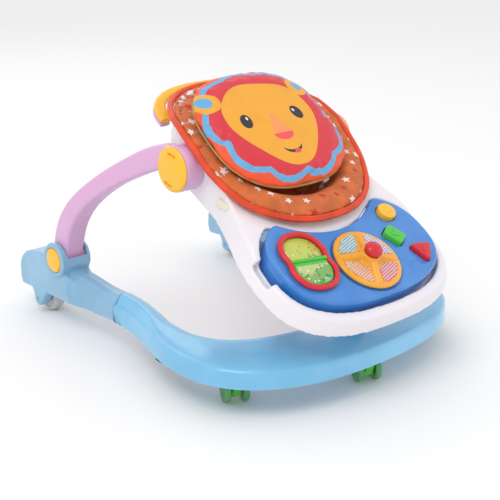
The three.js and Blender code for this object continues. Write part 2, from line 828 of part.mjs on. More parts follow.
function consoleTop() {
  let shell = solid(slab(consoleOutline(0, 0), CONSOLE_FLOOR + 4, CONSOLE_TOP, 2.5));
  shell = shell.subtract(solid(slab(consoleOutline(-4, -4), CONSOLE_FLOOR, CONSOLE_TOP - TOP_SKIN)));
  shell = shell.subtract(bar("z", DIAL_RADIUS + 0.8, CONSOLE_TOP - 1.5, 60, DIAL, 28));
  shell = shell.subtract(bar("z", 8.5, 0, 60, DIAL, 14));
  shell = shell.subtract(solid(slab(bookOutline(-9), CONSOLE_TOP - 1.5, 60)));
  for (const outline of Object.values(BUTTONS)) {
    shell = shell.subtract(solid(slab(grown(outline, 0.5), 0, 60)));
  }
  for (let i = 0; i < 6; i++) {
    const angle = (i / 6) * 2 * Math.PI;
    const at = [84 + 6 * Math.cos(angle), -327 + 6 * Math.sin(angle)];
    shell = shell.subtract(bar("z", 1, 0, 60, at, 6));
  }
  return shell;
}

function consoleBack() {
  const floor = CONSOLE_FLOOR + GAP;
  let plate = solid(slab(consoleOutline(-0.5, -0.5), floor, CONSOLE_FLOOR + 4 - GAP));
  plate = plate.subtract(box(-36, 36, -322, -270, floor - 1, 20));
  const lip = solid(slab(consoleOutline(-4.6, -4.6), floor, floor + 6));
  plate = plate.add(lip.subtract(solid(slab(consoleOutline(-7, -7), floor - 1, 20))));
  for (const post of [[80, -214], [122, -214], [100, -316]]) {
    plate = plate.add(bar("z", 2.5, floor + 1, -1 - GAP, post, 8));
  }
  return plate;
}

function batteryDoor() {
  return box(-35.5, 35.5, -321.5, -270.5, CONSOLE_FLOOR + GAP, CONSOLE_FLOOR + 2.5);
}

function dial() {
  const profile = [
    [0, 26.2],
    [DIAL_RADIUS - 2, 26.2],
    [DIAL_RADIUS, 28],
    [DIAL_RADIUS - 0.6, 31],
    [DIAL_RADIUS - 5, 33],
    [20, 34],
    [17, 44],
    [15.5, 47],
    [0, 47],
  ].map(([r, z]) => new THREE.Vector2(r, z));
  const disc = new THREE.LatheGeometry(profile, 28).rotateX(Math.PI / 2);
  let made = solid(disc);
  for (let i = 0; i < 4; i++) {
    made = made.add(spoke((i / 4) * 2 * Math.PI + THREE.MathUtils.degToRad(-18)));
  }
  made = made.translate([DIAL[0], DIAL[1], 0]);
  made = made.subtract(bar("z", 13, 40, 70, DIAL, 18));
  return made.subtract(bar("z", 5.3, 20, 70, DIAL, 12));
}

// One spoke: a rounded rib that falls from the hub to the rim of the dial.
function spoke(angle) {
  const stations = [[8, 46, 9], [20, 43, 8.5], [34, 38.5, 8], [48, 36.5, 7.5], [54, 35, 6]];
  const section = [[-1, 0], [-1, -4], [-0.6, -1], [0, 0], [0.6, -1], [1, -4], [1, 0]];
  const rings = stations.map(([reach, height, half]) =>
    section.map(([side, drop], i) => {
      const x = reach * Math.cos(angle) - side * half * Math.sin(angle);
      const y = reach * Math.sin(angle) + side * half * Math.cos(angle);
      const foot = i === 0 || i === section.length - 1;
      return new THREE.Vector3(x, y, foot ? 30 : height + drop);
    }),
  );
  return solid(loft(rings.reverse()));
}

function hornButton() {
  const profile = [
    [0, 44],
    [12.4, 44],
    [12.4, 50],
    [14.6, 50],
    [15.2, 53],
    [14, 57],
    [9.5, 61.4],
    [5, 63],
    [0, 63.4],
  ].map(([r, z]) => new THREE.Vector2(r, z));
  const dome = new THREE.LatheGeometry(profile, 16).rotateX(Math.PI / 2);
  return solid(dome.translate(DIAL[0], DIAL[1], 0));
}

function pushButton(outline) {
  const crown = solid(slab(outline, 14, 36, 2.5));
  return crown.add(solid(slab(grown(outline, 1.6), 14, 17)));
}

// The path of a coil spring.
class Helix extends THREE.Curve {
  constructor(radius, height, turns) {
    super();
    Object.assign(this, { radius, height, turns });
  }
  getPoint(t, target = new THREE.Vector3()) {
    const angle = t * this.turns * 2 * Math.PI;
    const x = this.radius * Math.cos(angle);
    return target.set(x, this.radius * Math.sin(angle), t * this.height);
  }
}

function spring(x, y, z0, z1, radius) {
  const section = new THREE.Shape(superellipse([0.5, 0.5], 2, 4));
  const geometry = new THREE.ExtrudeGeometry(section, {
    steps: 20,
    bevelEnabled: false,
    extrudePath: new Helix(radius, z1 - z0 - 1.4, 4),
  });
  return solid(geometry.translate(x, y, z0 + 0.7));
}

function pageFlap() {
  // The flap covers the half of the book in front of its hinge bar and lies just above the page.
  const inner = bookOutline(-10.5);
  const front = inner.filter((p) => hingeSide(p) < -4.5);
  return solid(slab(front, 31.3, 33)).add(hingeBar());
}

// Distance behind the hinge line of the book.
function hingeSide(p) {
  const away = p.clone().sub(new THREE.Vector2(...BOOK));
  return away.rotateAround(new THREE.Vector2(), -BOOK_TURN).y;
}

function hingeBar() {
  const rod = new THREE.CylinderGeometry(3, 3, 2 * BOOK_HALF[0] - 24, 16).rotateZ(Math.PI / 2);
  rod.rotateZ(BOOK_TURN).translate(BOOK[0], BOOK[1], 34);
  const leaf = new THREE.BoxGeometry(2 * BOOK_HALF[0] - 26, 16, 1.6).translate(0, -8, 32.2);
  leaf.rotateZ(BOOK_TURN).translate(BOOK[0], BOOK[1], 0);
  return solid(rod).add(solid(leaf));
}

function bookFrame() {
  const ring = slab(bookOutline(0), CONSOLE_TOP + GAP, 36.5, 3, [bookOutline(-9).reverse()]);
  return solid(ring);
}

// ---------------------------------------------------------------- assembly
function baseParts() {
  piece(level, "base_front", baseFront(), SKY);
  pair(level, "rear_foot", rearFoot(), DUSTY_BLUE);
  piece(level, "front_post", frontPost(), SKY);
  piece(level, "post_pad", postPad(), RUBBER);
  CASTORS.forEach((place) => castor(...place));
  stopper();
  pair(level, "rear_wheel", rearWheel(), WHITE);
  pair(level, "rear_axle", bar("x", 3, -256, -202, [AXLE_Y, REAR_WHEEL_RADIUS], 10), STEEL);
}

function armParts() {
  pair(level, "arm", arm(), MAUVE);
  pair(level, "pivot_pin", bar("x", PIVOT_PIN, -257.5, -206, [PIVOT_Y, PIVOT_Z], 14), STEEL);
  pair(level, "pivot_cap", pivotCap(), AMBER);
  pair(level, "hub_knob", hubKnob(), AMBER);
  pair(level, "hub_bolt", bar("x", BOLT_RADIUS, -182, -142, [0, HUB_Z], 14), STEEL);
}

function pivotCap() {
  const profile = [
    [0, 0],
    [23, 0],
    [23, 4],
    [21, 6],
    [0, 6.8],
  ].map(([r, x]) => new THREE.Vector2(r, x));
  const cap = new THREE.LatheGeometry(profile, 24);
  return solid(cap.rotateZ(Math.PI / 2).translate(-FOOT_OUT - GAP, PIVOT_Y, PIVOT_Z));
}

function seatParts() {
  piece(seat, "seat_tray_body", seatTrayBody(), WHITE);
  piece(seat, "push_handle", solid(handle(-11, 0, 0, 3)), AMBER);
  piece(seat, "push_handle_under", solid(handle(-19, -11.4, 1, 2.5)), MAUVE);
  piece(seat, "seat_rim", seatRim(), RED_CLOTH);
  piece(seat, "seat_pad", seatPad(), ORANGE_CLOTH);
  piece(seat, "head_cushion", headCushion(), FACE_CLOTH);
  [-2.3, -1.8, -1.3, -0.85].forEach((angle, i) => {
    piece(seat, `seat_clip_${i + 1}`, seatClip(angle), CLIP);
  });
}

function consoleParts() {
  piece(seat, "console_top", consoleTop(), ROYAL);
  piece(seat, "console_back", consoleBack(), ROYAL);
  piece(seat, "battery_door", batteryDoor(), ROYAL);
  piece(seat, "circuit_board", box(74, 128, -322, -206, -1, 0.6), BOARD);
  piece(seat, "speaker", bar("z", 12, 12, CONSOLE_TOP - TOP_SKIN - GAP, [84, -327], 16), RUBBER);
  piece(seat, "book_frame", bookFrame(), RED);
  piece(seat, "book_page", solid(slab(bookOutline(-9.4), 26, 29.4)), CARD);
  piece(seat, "page_flap", pageFlap(), GREEN);
  piece(seat, "steering_dial", dial(), AMBER);
  piece(seat, "dial_spindle", bar("z", 5, 8, 40, DIAL, 12), WHITE);
  piece(seat, "horn_button", hornButton(), RED);
  const colours = { round: AMBER, square: GREEN, triangle: RED };
  for (const [shape, outline] of Object.entries(BUTTONS)) {
    piece(seat, `${shape}_button`, pushButton(outline), colours[shape]);
    const middle = middleOf(outline);
    piece(seat, `${shape}_button_spring`, spring(middle.x, middle.y, 1, 10.6, 4), STEEL);
  }
}

baseParts();
armParts();
seatParts();
consoleParts();
export default walker;
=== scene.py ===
"""The looks of a baby walker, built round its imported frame.

Sizes inside the classes are millimetres. Level pieces count Y from the hub axis; seat pieces
stand in the tilted frame of the seat: x across, y to the back, z out of the tray.
"""

from __future__ import annotations

import json
import logging
import math
from dataclasses import dataclass, field
from enum import Enum
from typing import Callable, Sequence

import bpy
import numpy as np
from mathutils import Matrix, Vector

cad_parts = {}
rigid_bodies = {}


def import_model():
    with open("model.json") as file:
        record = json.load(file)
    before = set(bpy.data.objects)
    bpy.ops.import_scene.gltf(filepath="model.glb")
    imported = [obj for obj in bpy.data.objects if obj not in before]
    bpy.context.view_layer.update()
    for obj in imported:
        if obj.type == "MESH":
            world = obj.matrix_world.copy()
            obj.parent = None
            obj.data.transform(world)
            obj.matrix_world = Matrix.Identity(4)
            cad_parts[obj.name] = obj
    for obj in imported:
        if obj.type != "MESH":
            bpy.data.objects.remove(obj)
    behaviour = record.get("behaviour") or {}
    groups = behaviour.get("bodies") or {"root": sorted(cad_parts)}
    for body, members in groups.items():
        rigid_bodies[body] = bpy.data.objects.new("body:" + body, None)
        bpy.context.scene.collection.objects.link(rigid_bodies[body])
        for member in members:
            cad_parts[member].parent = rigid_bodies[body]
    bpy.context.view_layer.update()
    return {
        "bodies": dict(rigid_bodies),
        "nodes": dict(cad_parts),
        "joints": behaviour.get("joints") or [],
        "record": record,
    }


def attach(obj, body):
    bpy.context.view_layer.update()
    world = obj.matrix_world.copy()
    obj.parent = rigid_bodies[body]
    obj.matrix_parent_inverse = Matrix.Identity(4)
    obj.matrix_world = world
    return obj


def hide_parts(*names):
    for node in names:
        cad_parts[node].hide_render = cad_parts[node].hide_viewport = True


LOG = logging.getLogger("walker")
Array = np.ndarray
Place = Callable[[Array, Array], Array]
Colour = tuple[float, float, float]
MM = 0.001
TURN = 2 * math.pi
SIDES = (("right", -1), ("left", 1))
FOOT_PIVOT = (0, 262, 126)
CUSHION_HALF = (139.0, 127.0)
# Height of the white ring's top and of the cloth rim above the hub, against y.
RING_TOP = (
    (-226, 13), (-196, 22), (-130, 20), (-60, 29), (-10, 37), (60, 35), (110, 27), (170, 12),
)
RIM_HEIGHT = (
    (-195, 34), (-122, 31), (-50, 38), (0, 46), (50, 43), (90, 32), (140, 18), (170, 9),
)


# ------------------------------------------------------------------ numbers
def ease(low: float, high: float, value: Array | float) -> Array:
    """Returns a smooth 0 to 1 step of value between low and high."""
    t = np.clip((np.asarray(value, float) - low) / (high - low), 0, 1)
    return t * t * (3 - 2 * t)


def follow(stops: Sequence[tuple[float, float]], at: Array | float) -> Array:
    """Returns the value of a list of (position, value) stops at each position."""
    return np.interp(at, [s[0] for s in stops], [s[1] for s in stops])


def power_ring(half_x: float, half_y: float, power: float, turn: Array) -> tuple[Array, Array]:
    """Returns x and y of a superellipse at each angle in radians.

    Args:
        half_x: half the width.
        half_y: half the depth.
        power: 2 for an ellipse, more for squarer corners.
        turn: the angles.
    Returns:
        The x values and the y values.
    """
    c, s = np.cos(turn), np.sin(turn)
    return (
        half_x * np.sign(c) * np.abs(c) ** (2 / power),
        half_y * np.sign(s) * np.abs(s) ** (2 / power),
    )


def ring_points(
    half_x: float, half_y: float, power: float, count: int, at: tuple[float, float] = (0, 0)
) -> Array:
    """Returns a closed superellipse outline as rows of x and y."""
    x, y = power_ring(half_x, half_y, power, np.arange(count) / count * TURN)
    return np.stack([x + at[0], y + at[1]], 1)


def turned(points: Array, degrees: float, at: tuple[float, float] = (0, 0)) -> Array:
    """Returns 2-D points turned about the origin and moved to a place.

    Args:
        points: rows of x and y.
        degrees: the turn, counter-clockwise.
        at: where the origin goes.
    Returns:
        The new rows.
    """
    a = math.radians(degrees)
    spin = np.array([[math.cos(a), math.sin(a)], [-math.sin(a), math.cos(a)]])
    return points @ spin + np.array(at)


def eased_corners(points: Sequence, radius: float, steps: int = 4, closed: bool = False) -> Array:
    """Rounds the corners of a polyline.

    Args:
        points: its corners, in 2-D.
        radius: how far along each side a corner is cut back.
        steps: points on each rounded corner.
        closed: whether the last corner joins the first.
    Returns:
        The points of the rounded line.
    """
    p = np.asarray(points, float)
    out = [] if closed else [p[0]]
    span = range(len(p)) if closed else range(1, len(p) - 1)
    for i in span:
        before, here, after = p[i - 1], p[i], p[(i + 1) % len(p)]
        a, b = before - here, after - here
        la, lb = np.linalg.norm(a), np.linalg.norm(b)
        start = here + a / la * min(radius, la * 0.45)
        end = here + b / lb * min(radius, lb * 0.45)
        for t in np.linspace(0, 1, steps):
            out.append((1 - t) ** 2 * start + 2 * t * (1 - t) * here + t * t * end)
    if not closed:
        out.append(p[-1])
    return np.array(out)


def resampled(points: Array, count: int) -> Array:
    """Returns count points evenly spaced along a closed outline.

    Args:
        points: the outline's corners.
        count: how many points to give.
    Returns:
        Rows of x and y.
    """
    loop = np.vstack([points, points[:1]])
    run = np.concatenate([[0], np.cumsum(np.linalg.norm(np.diff(loop, axis=0), axis=1))])
    at = np.arange(count) / count * run[-1]
    return np.stack([np.interp(at, run, loop[:, k]) for k in (0, 1)], 1)


def grown(points: Array, amount: float) -> Array:
    """Returns a closed, counter-clockwise outline moved outwards by an amount.

    Args:
        points: rows of x and y.
        amount: how far outwards; below 0 is inwards.
    Returns:
        The new rows.
    """
    ahead = np.roll(points, -1, 0) - np.roll(points, 1, 0)
    out = np.stack([ahead[:, 1], -ahead[:, 0]], 1)
    return points + out / np.linalg.norm(out, axis=1)[:, None] * amount


def by_angle(points: Array) -> Array:
    """Returns 2-D points in the order of their angle round the origin."""
    return points[np.argsort(np.arctan2(points[:, 1], points[:, 0]))]


# ------------------------------------------------------------------ modelling bench
class Bench:
    """Mesh work with Blender's own operators, one piece at a time."""

    @staticmethod
    def alone(*pieces: bpy.types.Object) -> None:
        """Selects only these pieces; the last is the active one.

        Args:
            pieces: the pieces to select.
        """
        bpy.ops.object.select_all(action="DESELECT")
        for piece in pieces:
            piece.select_set(True)
            bpy.context.view_layer.objects.active = piece

    @staticmethod
    def named(name: str) -> bpy.types.Object:
        """Names the primitive that was just added and returns it.

        Args:
            name: the new name.
        Returns:
            The primitive.
        """
        piece = bpy.context.active_object
        piece.name = piece.data.name = name
        return piece

    @staticmethod
    def points(piece: bpy.types.Object) -> Array:
        """Returns the piece's vertices as rows.

        Args:
            piece: the piece to read.
        Returns:
            Rows of x, y and z.
        """
        co = np.empty(len(piece.data.vertices) * 3)
        piece.data.vertices.foreach_get("co", co)
        return co.reshape(-1, 3)

    @staticmethod
    def shape(piece: bpy.types.Object, co: Array) -> None:
        """Moves the piece's vertices to new places."""
        piece.data.vertices.foreach_set("co", np.ascontiguousarray(co, float).ravel())
        piece.data.update()

    @classmethod
    def edited(cls, piece: bpy.types.Object, *steps: Callable[[], object]) -> bpy.types.Object:
        """Runs edit-mode steps on the whole piece and returns it.

        Args:
            piece: the piece to work on.
            steps: calls to make, each with everything selected.
        Returns:
            The piece.
        """
        cls.alone(piece)
        bpy.ops.object.mode_set(mode="EDIT")
        for step in steps:
            bpy.ops.mesh.select_all(action="SELECT")
            step()
        bpy.ops.object.mode_set(mode="OBJECT")
        return piece

    @classmethod
    def closed(cls, piece: bpy.types.Object, merge: float = 0.002) -> bpy.types.Object:
        """Joins seams and poles, fills open ends and faces the piece outwards.

        Args:
            piece: the piece to work on.
            merge: distance within which points join.
        Returns:
            The piece.
        """
        return cls.edited(
            piece,
            lambda: bpy.ops.mesh.remove_doubles(threshold=merge),
            lambda: bpy.ops.mesh.fill_holes(sides=0),
            lambda: bpy.ops.mesh.normals_make_consistent(inside=False),
        )

    @classmethod
    def wrapped(cls, name: str, columns: int, rows: int, place: Place) -> bpy.types.Object:
        """Wraps a grid round a form.

        Args:
            name: the piece's name.
            columns: faces along the first direction.
            rows: faces along the second.
            place: gives rows of x, y, z for two arrays that run 0 to 1 over the grid.
        Returns:
            The closed piece.
        """
        bpy.ops.object.select_all(action="DESELECT")
        bpy.ops.mesh.primitive_grid_add(x_subdivisions=columns, y_subdivisions=rows, size=1)
        piece = cls.named(name)
        co = cls.points(piece)
        cls.shape(piece, place(co[:, 0] + 0.5, co[:, 1] + 0.5))
        return cls.closed(piece)

    @classmethod
    def turned_on(
        cls, name: str, profile: Sequence, axis: str, at: Sequence[float], steps: int = 72
    ) -> bpy.types.Object:
        """Turns a profile of (radius, height) round a line along x or z through a place.

        Args:
            name: the piece's name.
            profile: rows of radius and height.
            axis: x or z.
            at: a place on the line.
            steps: faces round the turn.
        Returns:
            The closed piece.
        """
        line = np.asarray(profile, float)

        def place(u: Array, v: Array) -> Array:
            """Winds the profile round its line.

            Args:
                u: 0 to 1 round the form.
                v: 0 to 1 along it.
            Returns:
                Rows of x, y and z.
            """
            index = np.arange(len(line))
            r = np.interp(v * (len(line) - 1), index, line[:, 0])
            h = np.interp(v * (len(line) - 1), index, line[:, 1])
            a, b = r * np.cos(u * TURN), r * np.sin(u * TURN)
            columns = (h, a, b) if axis == "x" else (a, b, h)
            return np.stack(columns, 1) + np.array(at)

        return cls.wrapped(name, steps, len(line) - 1, place)

    @classmethod
    def drawn(
        cls,
        name: str,
        outline: Array,
        low: float,
        high: float,
        edge: float = 0.0,
        segments: int = 3,
        side: bool = False,
    ) -> bpy.types.Object:
        """Extrudes a flat outline.

        Args:
            name: the piece's name.
            outline: rows of x and y, or of y and z with side.
            low: where the extrusion starts, along z, or along x with side.
            high: where it ends.
            edge: width of the rounded edges.
            segments: faces across a rounded edge.
            side: draws in the y-z plane instead of the x-y plane.
        Returns:
            The closed piece.
        """
        bpy.ops.object.select_all(action="DESELECT")
        bpy.ops.mesh.primitive_circle_add(vertices=len(outline), radius=1, fill_type="NGON")
        piece = cls.named(name)
        flat = np.full(len(outline), float(low))
        columns = [flat, *outline.T] if side else [*outline.T, flat]
        cls.shape(piece, np.stack(columns, 1))
        lift = (high - low, 0, 0) if side else (0, 0, high - low)
        cls.edited(
            piece,
            lambda: bpy.ops.mesh.extrude_region_move(TRANSFORM_OT_translate={"value": lift}),
            lambda: bpy.ops.mesh.normals_make_consistent(inside=False),
        )
        if edge:
            cls.eased(piece, edge, segments)
        return piece

    @classmethod
    def modified(cls, piece: bpy.types.Object, kind: str, **settings: object) -> bpy.types.Object:
        """Adds one modifier, sets it and applies it.

        Args:
            piece: the piece to work on.
            kind: the modifier's type.
            settings: its properties.
        Returns:
            The piece.
        """
        modifier = piece.modifiers.new(kind.title(), kind)
        for key, value in settings.items():
            setattr(modifier, key, value)
        cls.alone(piece)
        bpy.ops.object.modifier_apply(modifier=modifier.name)
        return piece

    @classmethod
    def eased(cls, piece: bpy.types.Object, width: float, segments: int = 3) -> bpy.types.Object:
        """Rounds the piece's sharp edges.

        Args:
            piece: the piece to work on.
            width: width of the rounded edge.
            segments: faces across it.
        Returns:
            The piece.
        """
        return cls.modified(
            piece, "BEVEL", width=width, segments=segments, limit_method="ANGLE",
            angle_limit=math.radians(40),
        )

    @classmethod
    def cut(cls, piece: bpy.types.Object, *tools: bpy.types.Object) -> bpy.types.Object:
        """Takes each tool's shape out of the piece and removes the tools.

        Args:
            piece: the piece to work on.
            tools: closed pieces to take out.
        Returns:
            The piece.
        """
        for tool in tools:
            cls.modified(piece, "BOOLEAN", object=tool, operation="DIFFERENCE", solver="EXACT")
            bpy.data.objects.remove(tool)
        return piece

    @classmethod
    def joined(cls, piece: bpy.types.Object, *others: bpy.types.Object) -> bpy.types.Object:
        """Joins others into the piece.

        Args:
            piece: the piece to work on.
            others: pieces that become part of it.
        Returns:
            The piece.
        """
        cls.alone(*others, piece)
        bpy.ops.object.join()
        return piece

    @classmethod
    def fused(cls, piece: bpy.types.Object, voxel: float, rounds: int) -> bpy.types.Object:
        """Makes one even skin of the piece, with its edges softened by a number of rounds.

        Args:
            piece: the piece to work on.
            voxel: size of the skin's faces.
            rounds: how often it is smoothed.
        Returns:
            The piece.
        """
        cls.modified(piece, "REMESH", mode="VOXEL", voxel_size=voxel, use_smooth_shade=True)
        if rounds:
            cls.modified(piece, "SMOOTH", factor=0.5, iterations=rounds)
        return piece

    @classmethod
    def copied(cls, node: bpy.types.Object, name: str) -> bpy.types.Object:
        """Returns a merged copy of a frame node, free of its body.

        Args:
            node: the frame node.
            name: the copy's name.
        Returns:
            The copy.
        """
        piece = bpy.data.objects.new(name, node.data.copy())
        bpy.context.scene.collection.objects.link(piece)
        piece.data.name = name
        piece.data.materials.clear()
        return cls.edited(piece, lambda: bpy.ops.mesh.remove_doubles(threshold=1e-5))

    @classmethod
    def smooth(cls, piece: bpy.types.Object, degrees: float = 35) -> bpy.types.Object:
        """Shades the piece smooth except across edges sharper than an angle.

        Args:
            piece: the piece to work on.
            degrees: the angle.
        Returns:
            The piece.
        """
        cls.alone(piece)
        bpy.ops.object.shade_smooth_by_angle(angle=math.radians(degrees))
        return piece

    @classmethod
    def mirrored(cls, piece: bpy.types.Object, name: str) -> bpy.types.Object:
        """Returns a copy on the other side of x = 0, facing outwards.

        Args:
            piece: the piece to copy.
            name: the copy's name.
        Returns:
            The copy.
        """
        other = piece.copy()
        other.data = piece.data.copy()
        other.name = other.data.name = name
        bpy.context.scene.collection.objects.link(other)
        other.data.transform(Matrix.Scale(-1, 4, (1, 0, 0)))
        other.data.flip_normals()
        return other


# ------------------------------------------------------------------ shader maths
class Flow:
    """A value in a material that adds and multiplies like a number."""

    def __init__(self, recipe: "Recipe", socket: bpy.types.NodeSocket) -> None:
        """Keeps the socket and the recipe that new nodes go into."""
        self.recipe, self.socket = recipe, socket

    def _maths(self, operation: str, *values: object) -> "Flow":
        """Adds one Math node on these values."""
        return self.recipe.node("ShaderNodeMath", {"operation": operation}, *values)

    def __add__(self, other: object) -> "Flow":
        """Returns the sum."""
        return self._maths("ADD", self, other)

    def __sub__(self, other: object) -> "Flow":
        """Returns the difference."""
        return self._maths("SUBTRACT", self, other)

    def __rsub__(self, other: object) -> "Flow":
        """Returns other minus this."""
        return self._maths("SUBTRACT", other, self)

    def __mul__(self, other: object) -> "Flow":
        """Returns the product."""
        return self._maths("MULTIPLY", self, other)

    def __truediv__(self, other: object) -> "Flow":
        """Returns the quotient."""
        return self._maths("DIVIDE", self, other)

    def __rtruediv__(self, other: object) -> "Flow":
        """Returns other divided by this."""
        return self._maths("DIVIDE", other, self)

    def __pow__(self, other: object) -> "Flow":
        """Returns this to a power."""
        return self._maths("POWER", self, other)

    __radd__ = __add__
    __rmul__ = __mul__

    def of(self, operation: str, *others: object) -> "Flow":
        """Returns a named Math operation on this and others."""
        return self._maths(operation, self, *others)

    def part(self, index: int) -> "Flow":
        """Returns another output of the node that this comes from."""
        return Flow(self.recipe, self.socket.node.outputs[index])


class Recipe:
    """One material, written as expressions."""

    def __init__(self, name: str) -> None:
        """Starts an empty material with one surface shader.

        Args:
            name: the material's name.
        """
        self.material = bpy.data.materials.new(name)
        self.material.use_nodes = True
        self.tree = self.material.node_tree
        self.shader = self.tree.nodes["Principled BSDF"]
        self._place: Flow | None = None

    def feed(self, socket: bpy.types.NodeSocket, value: object) -> None:
        """Links a value to a socket, or sets it there.

        Args:
            socket: the input socket.
            value: a value of the material, a number or a colour.
        """
        if isinstance(value, Flow):
            self.tree.links.new(value.socket, socket)
        elif isinstance(value, tuple) and socket.type == "RGBA":
            socket.default_value = (*value[:3], 1.0)
        else:
            socket.default_value = value

    def node(self, kind: str, settings: dict, *values: object, **named: object) -> Flow:
        """Adds a node.

        Args:
            kind: the node's type.
            settings: its properties, set first.
            values: for its input sockets in order; None leaves one alone.
            named: for input sockets by name, with _ for a space.
        Returns:
            Its first output.
        """
        made = self.tree.nodes.new(kind)
        for key, value in settings.items():
            setattr(made, key, value)
        for i, value in enumerate(values):
            if value is not None:
                self.feed(made.inputs[i], value)
        for key, value in named.items():
            self.feed(made.inputs[key.replace("_", " ")], value)
        return Flow(self, next(o for o in made.outputs if o.enabled))

    def set(self, **values: object) -> None:
        """Feeds the surface shader's sockets, by name, with _ for a space."""
        for key, value in values.items():
            self.feed(self.shader.inputs[key.replace("_", " ")], value)

    @property
    def place(self) -> Flow:
        """The point on the object, in metres.

        Returns:
            The point.
        """
        if self._place is None:
            self._place = self.node("ShaderNodeTexCoord", {}).part(3)
        return self._place

    def split(self, vector: Flow) -> tuple[Flow, Flow, Flow]:
        """Returns a vector's three parts."""
        first = self.node("ShaderNodeSeparateXYZ", {}, vector)
        return first, first.part(1), first.part(2)

    def vector(self, x: object, y: object, z: object = 0.0) -> Flow:
        """Returns a vector made of three values."""
        return self.node("ShaderNodeCombineXYZ", {}, x, y, z)

    def noise(self, scale: float, detail: float = 2.0, vector: Flow | None = None) -> Flow:
        """Returns soft noise from 0 to 1.

        Args:
            scale: how fine it is.
            detail: how many finer layers it has.
            vector: where it is read; None for the point on the object.
        Returns:
            The noise.
        """
        return self.node(
            "ShaderNodeTexNoise", {}, Vector=vector or self.place, Scale=scale, Detail=detail
        )

    def step(self, value: Flow, low: float, high: float) -> Flow:
        """Returns 0 below low and 1 above high, smooth between; low may be the larger.

        Args:
            value: what is compared.
            low: where the step starts.
            high: where it ends.
        Returns:
            The step.
        """
        backwards = low > high
        return self.node(
            "ShaderNodeMapRange", {"interpolation_type": "SMOOTHSTEP"}, value,
            min(low, high), max(low, high), float(backwards), float(not backwards),
        )

    def mix(self, mask: object, base: object, over: object) -> Flow:
        """Returns base colour with the over colour where the mask is 1.

        Args:
            mask: 0 to 1.
            base: the colour where it is 0.
            over: the colour where it is 1.
        Returns:
            The colour.
        """
        made = self.tree.nodes.new("ShaderNodeMix")
        made.data_type = "RGBA"
        for index, value in ((0, mask), (6, base), (7, over)):
            self.feed(made.inputs[index], value)
        return Flow(self, made.outputs[2])

    def bump(self, height: Flow, strength: float, distance: float) -> Flow:
        """Returns a normal bent by a height.

        Args:
            height: the height.
            strength: how much of it shows, 0 to 1.
            distance: how deep it goes, in metres.
        Returns:
            The normal.
        """
        return self.node(
            "ShaderNodeBump", {}, Strength=strength, Distance=distance, Height=height
        )

    def cells(self, vector: Flow, size: float, jitter: float) -> Flow:
        """Returns the distance to the nearest of some scattered points.

        Args:
            vector: where it is read.
            size: how far apart the points are.
            jitter: 0 for a regular grid, 1 for points anywhere.
        Returns:
            The distance; the same node also gives each point's colour and place.
        """
        return self.node(
            "ShaderNodeTexVoronoi", {"voronoi_dimensions": "2D"},
            Vector=vector, Scale=1 / size, Randomness=jitter,
        )

    def plane(
        self, place: tuple[float, float, float], tilt: float, spin: float = 0.0
    ) -> tuple[Flow, Flow, Flow]:
        """Returns the point on the object, measured from a tilted plane.

        Args:
            place: the plane's origin, in metres.
            tilt: its turn about x, in radians.
            spin: its turn about its own z, in radians.
        Returns:
            x and y on the plane and z out of it, in millimetres.
        """
        return self.split(self.node(
            "ShaderNodeMapping", {"vector_type": "TEXTURE"}, self.place,
            place, (tilt, 0.0, spin), (MM, MM, MM),
        ))


class Finish:
    """A surface that makes its material once."""

    name: str

    def recipe(self) -> Recipe:
        """Writes the material."""
        raise NotImplementedError

    def material(self) -> bpy.types.Material:
        """Returns the material, made at its first use."""
        return bpy.data.materials.get(self.name) or self.recipe().material


@dataclass(frozen=True)
class Moulded(Finish):
    """Injection-moulded plastic with a fine grain, handling marks and uneven gloss."""

    name: str
    colour: Colour
    rough: float = 0.3
    coat: float = 0.25
    grain: float = 0.00004
    clear: float = 0.0

    def recipe(self) -> Recipe:
        """Writes the material.

        Returns:
            The material's recipe.
        """
        r = Recipe(self.name)
        cloud = r.noise(9.0, 3.0)
        fine = r.noise(1400.0, 1.0)
        scuff = r.node(
            "ShaderNodeTexNoise", {}, Vector=r.node(
                "ShaderNodeMapping", {}, Vector=r.place, Scale=(60.0, 900.0, 300.0)
            ), Scale=1.0, Detail=2.0,
        )
        worn = r.step(scuff, 0.68, 0.78)
        deep = tuple(c * 0.88 for c in self.colour)
        pale = tuple(c + (1 - c) * 0.05 for c in self.colour)
        body = r.mix(r.step(cloud, 0.35, 0.7), deep, pale)
        r.set(
            Base_Color=r.mix(worn * 0.06, body, (1.0, 1.0, 1.0)),
            Roughness=self.rough + (cloud - 0.5) * 0.08 + worn * 0.12,
            Coat_Weight=self.coat,
            Coat_Roughness=0.12,
            Normal=r.bump(fine + cloud * 3.0, 0.5, self.grain),
            IOR=1.48,
        )
        if self.clear:
            r.set(Transmission_Weight=self.clear)
        return r


@dataclass(frozen=True)
class Rubber(Finish):
    """Matte black rubber."""

    name: str = "black_rubber"
    colour: Colour = (0.018, 0.018, 0.02)

    def recipe(self) -> Recipe:
        """Writes the material.

        Returns:
            The material's recipe.
        """
        r = Recipe(self.name)
        dust = r.step(r.noise(60.0, 4.0), 0.5, 0.8)
        r.set(
            Base_Color=r.mix(dust * 0.25, self.colour, (0.12, 0.11, 0.1)),
            Roughness=0.7 + dust * 0.15,
            Normal=r.bump(r.noise(700.0, 3.0), 0.6, 0.0002),
        )
        return r


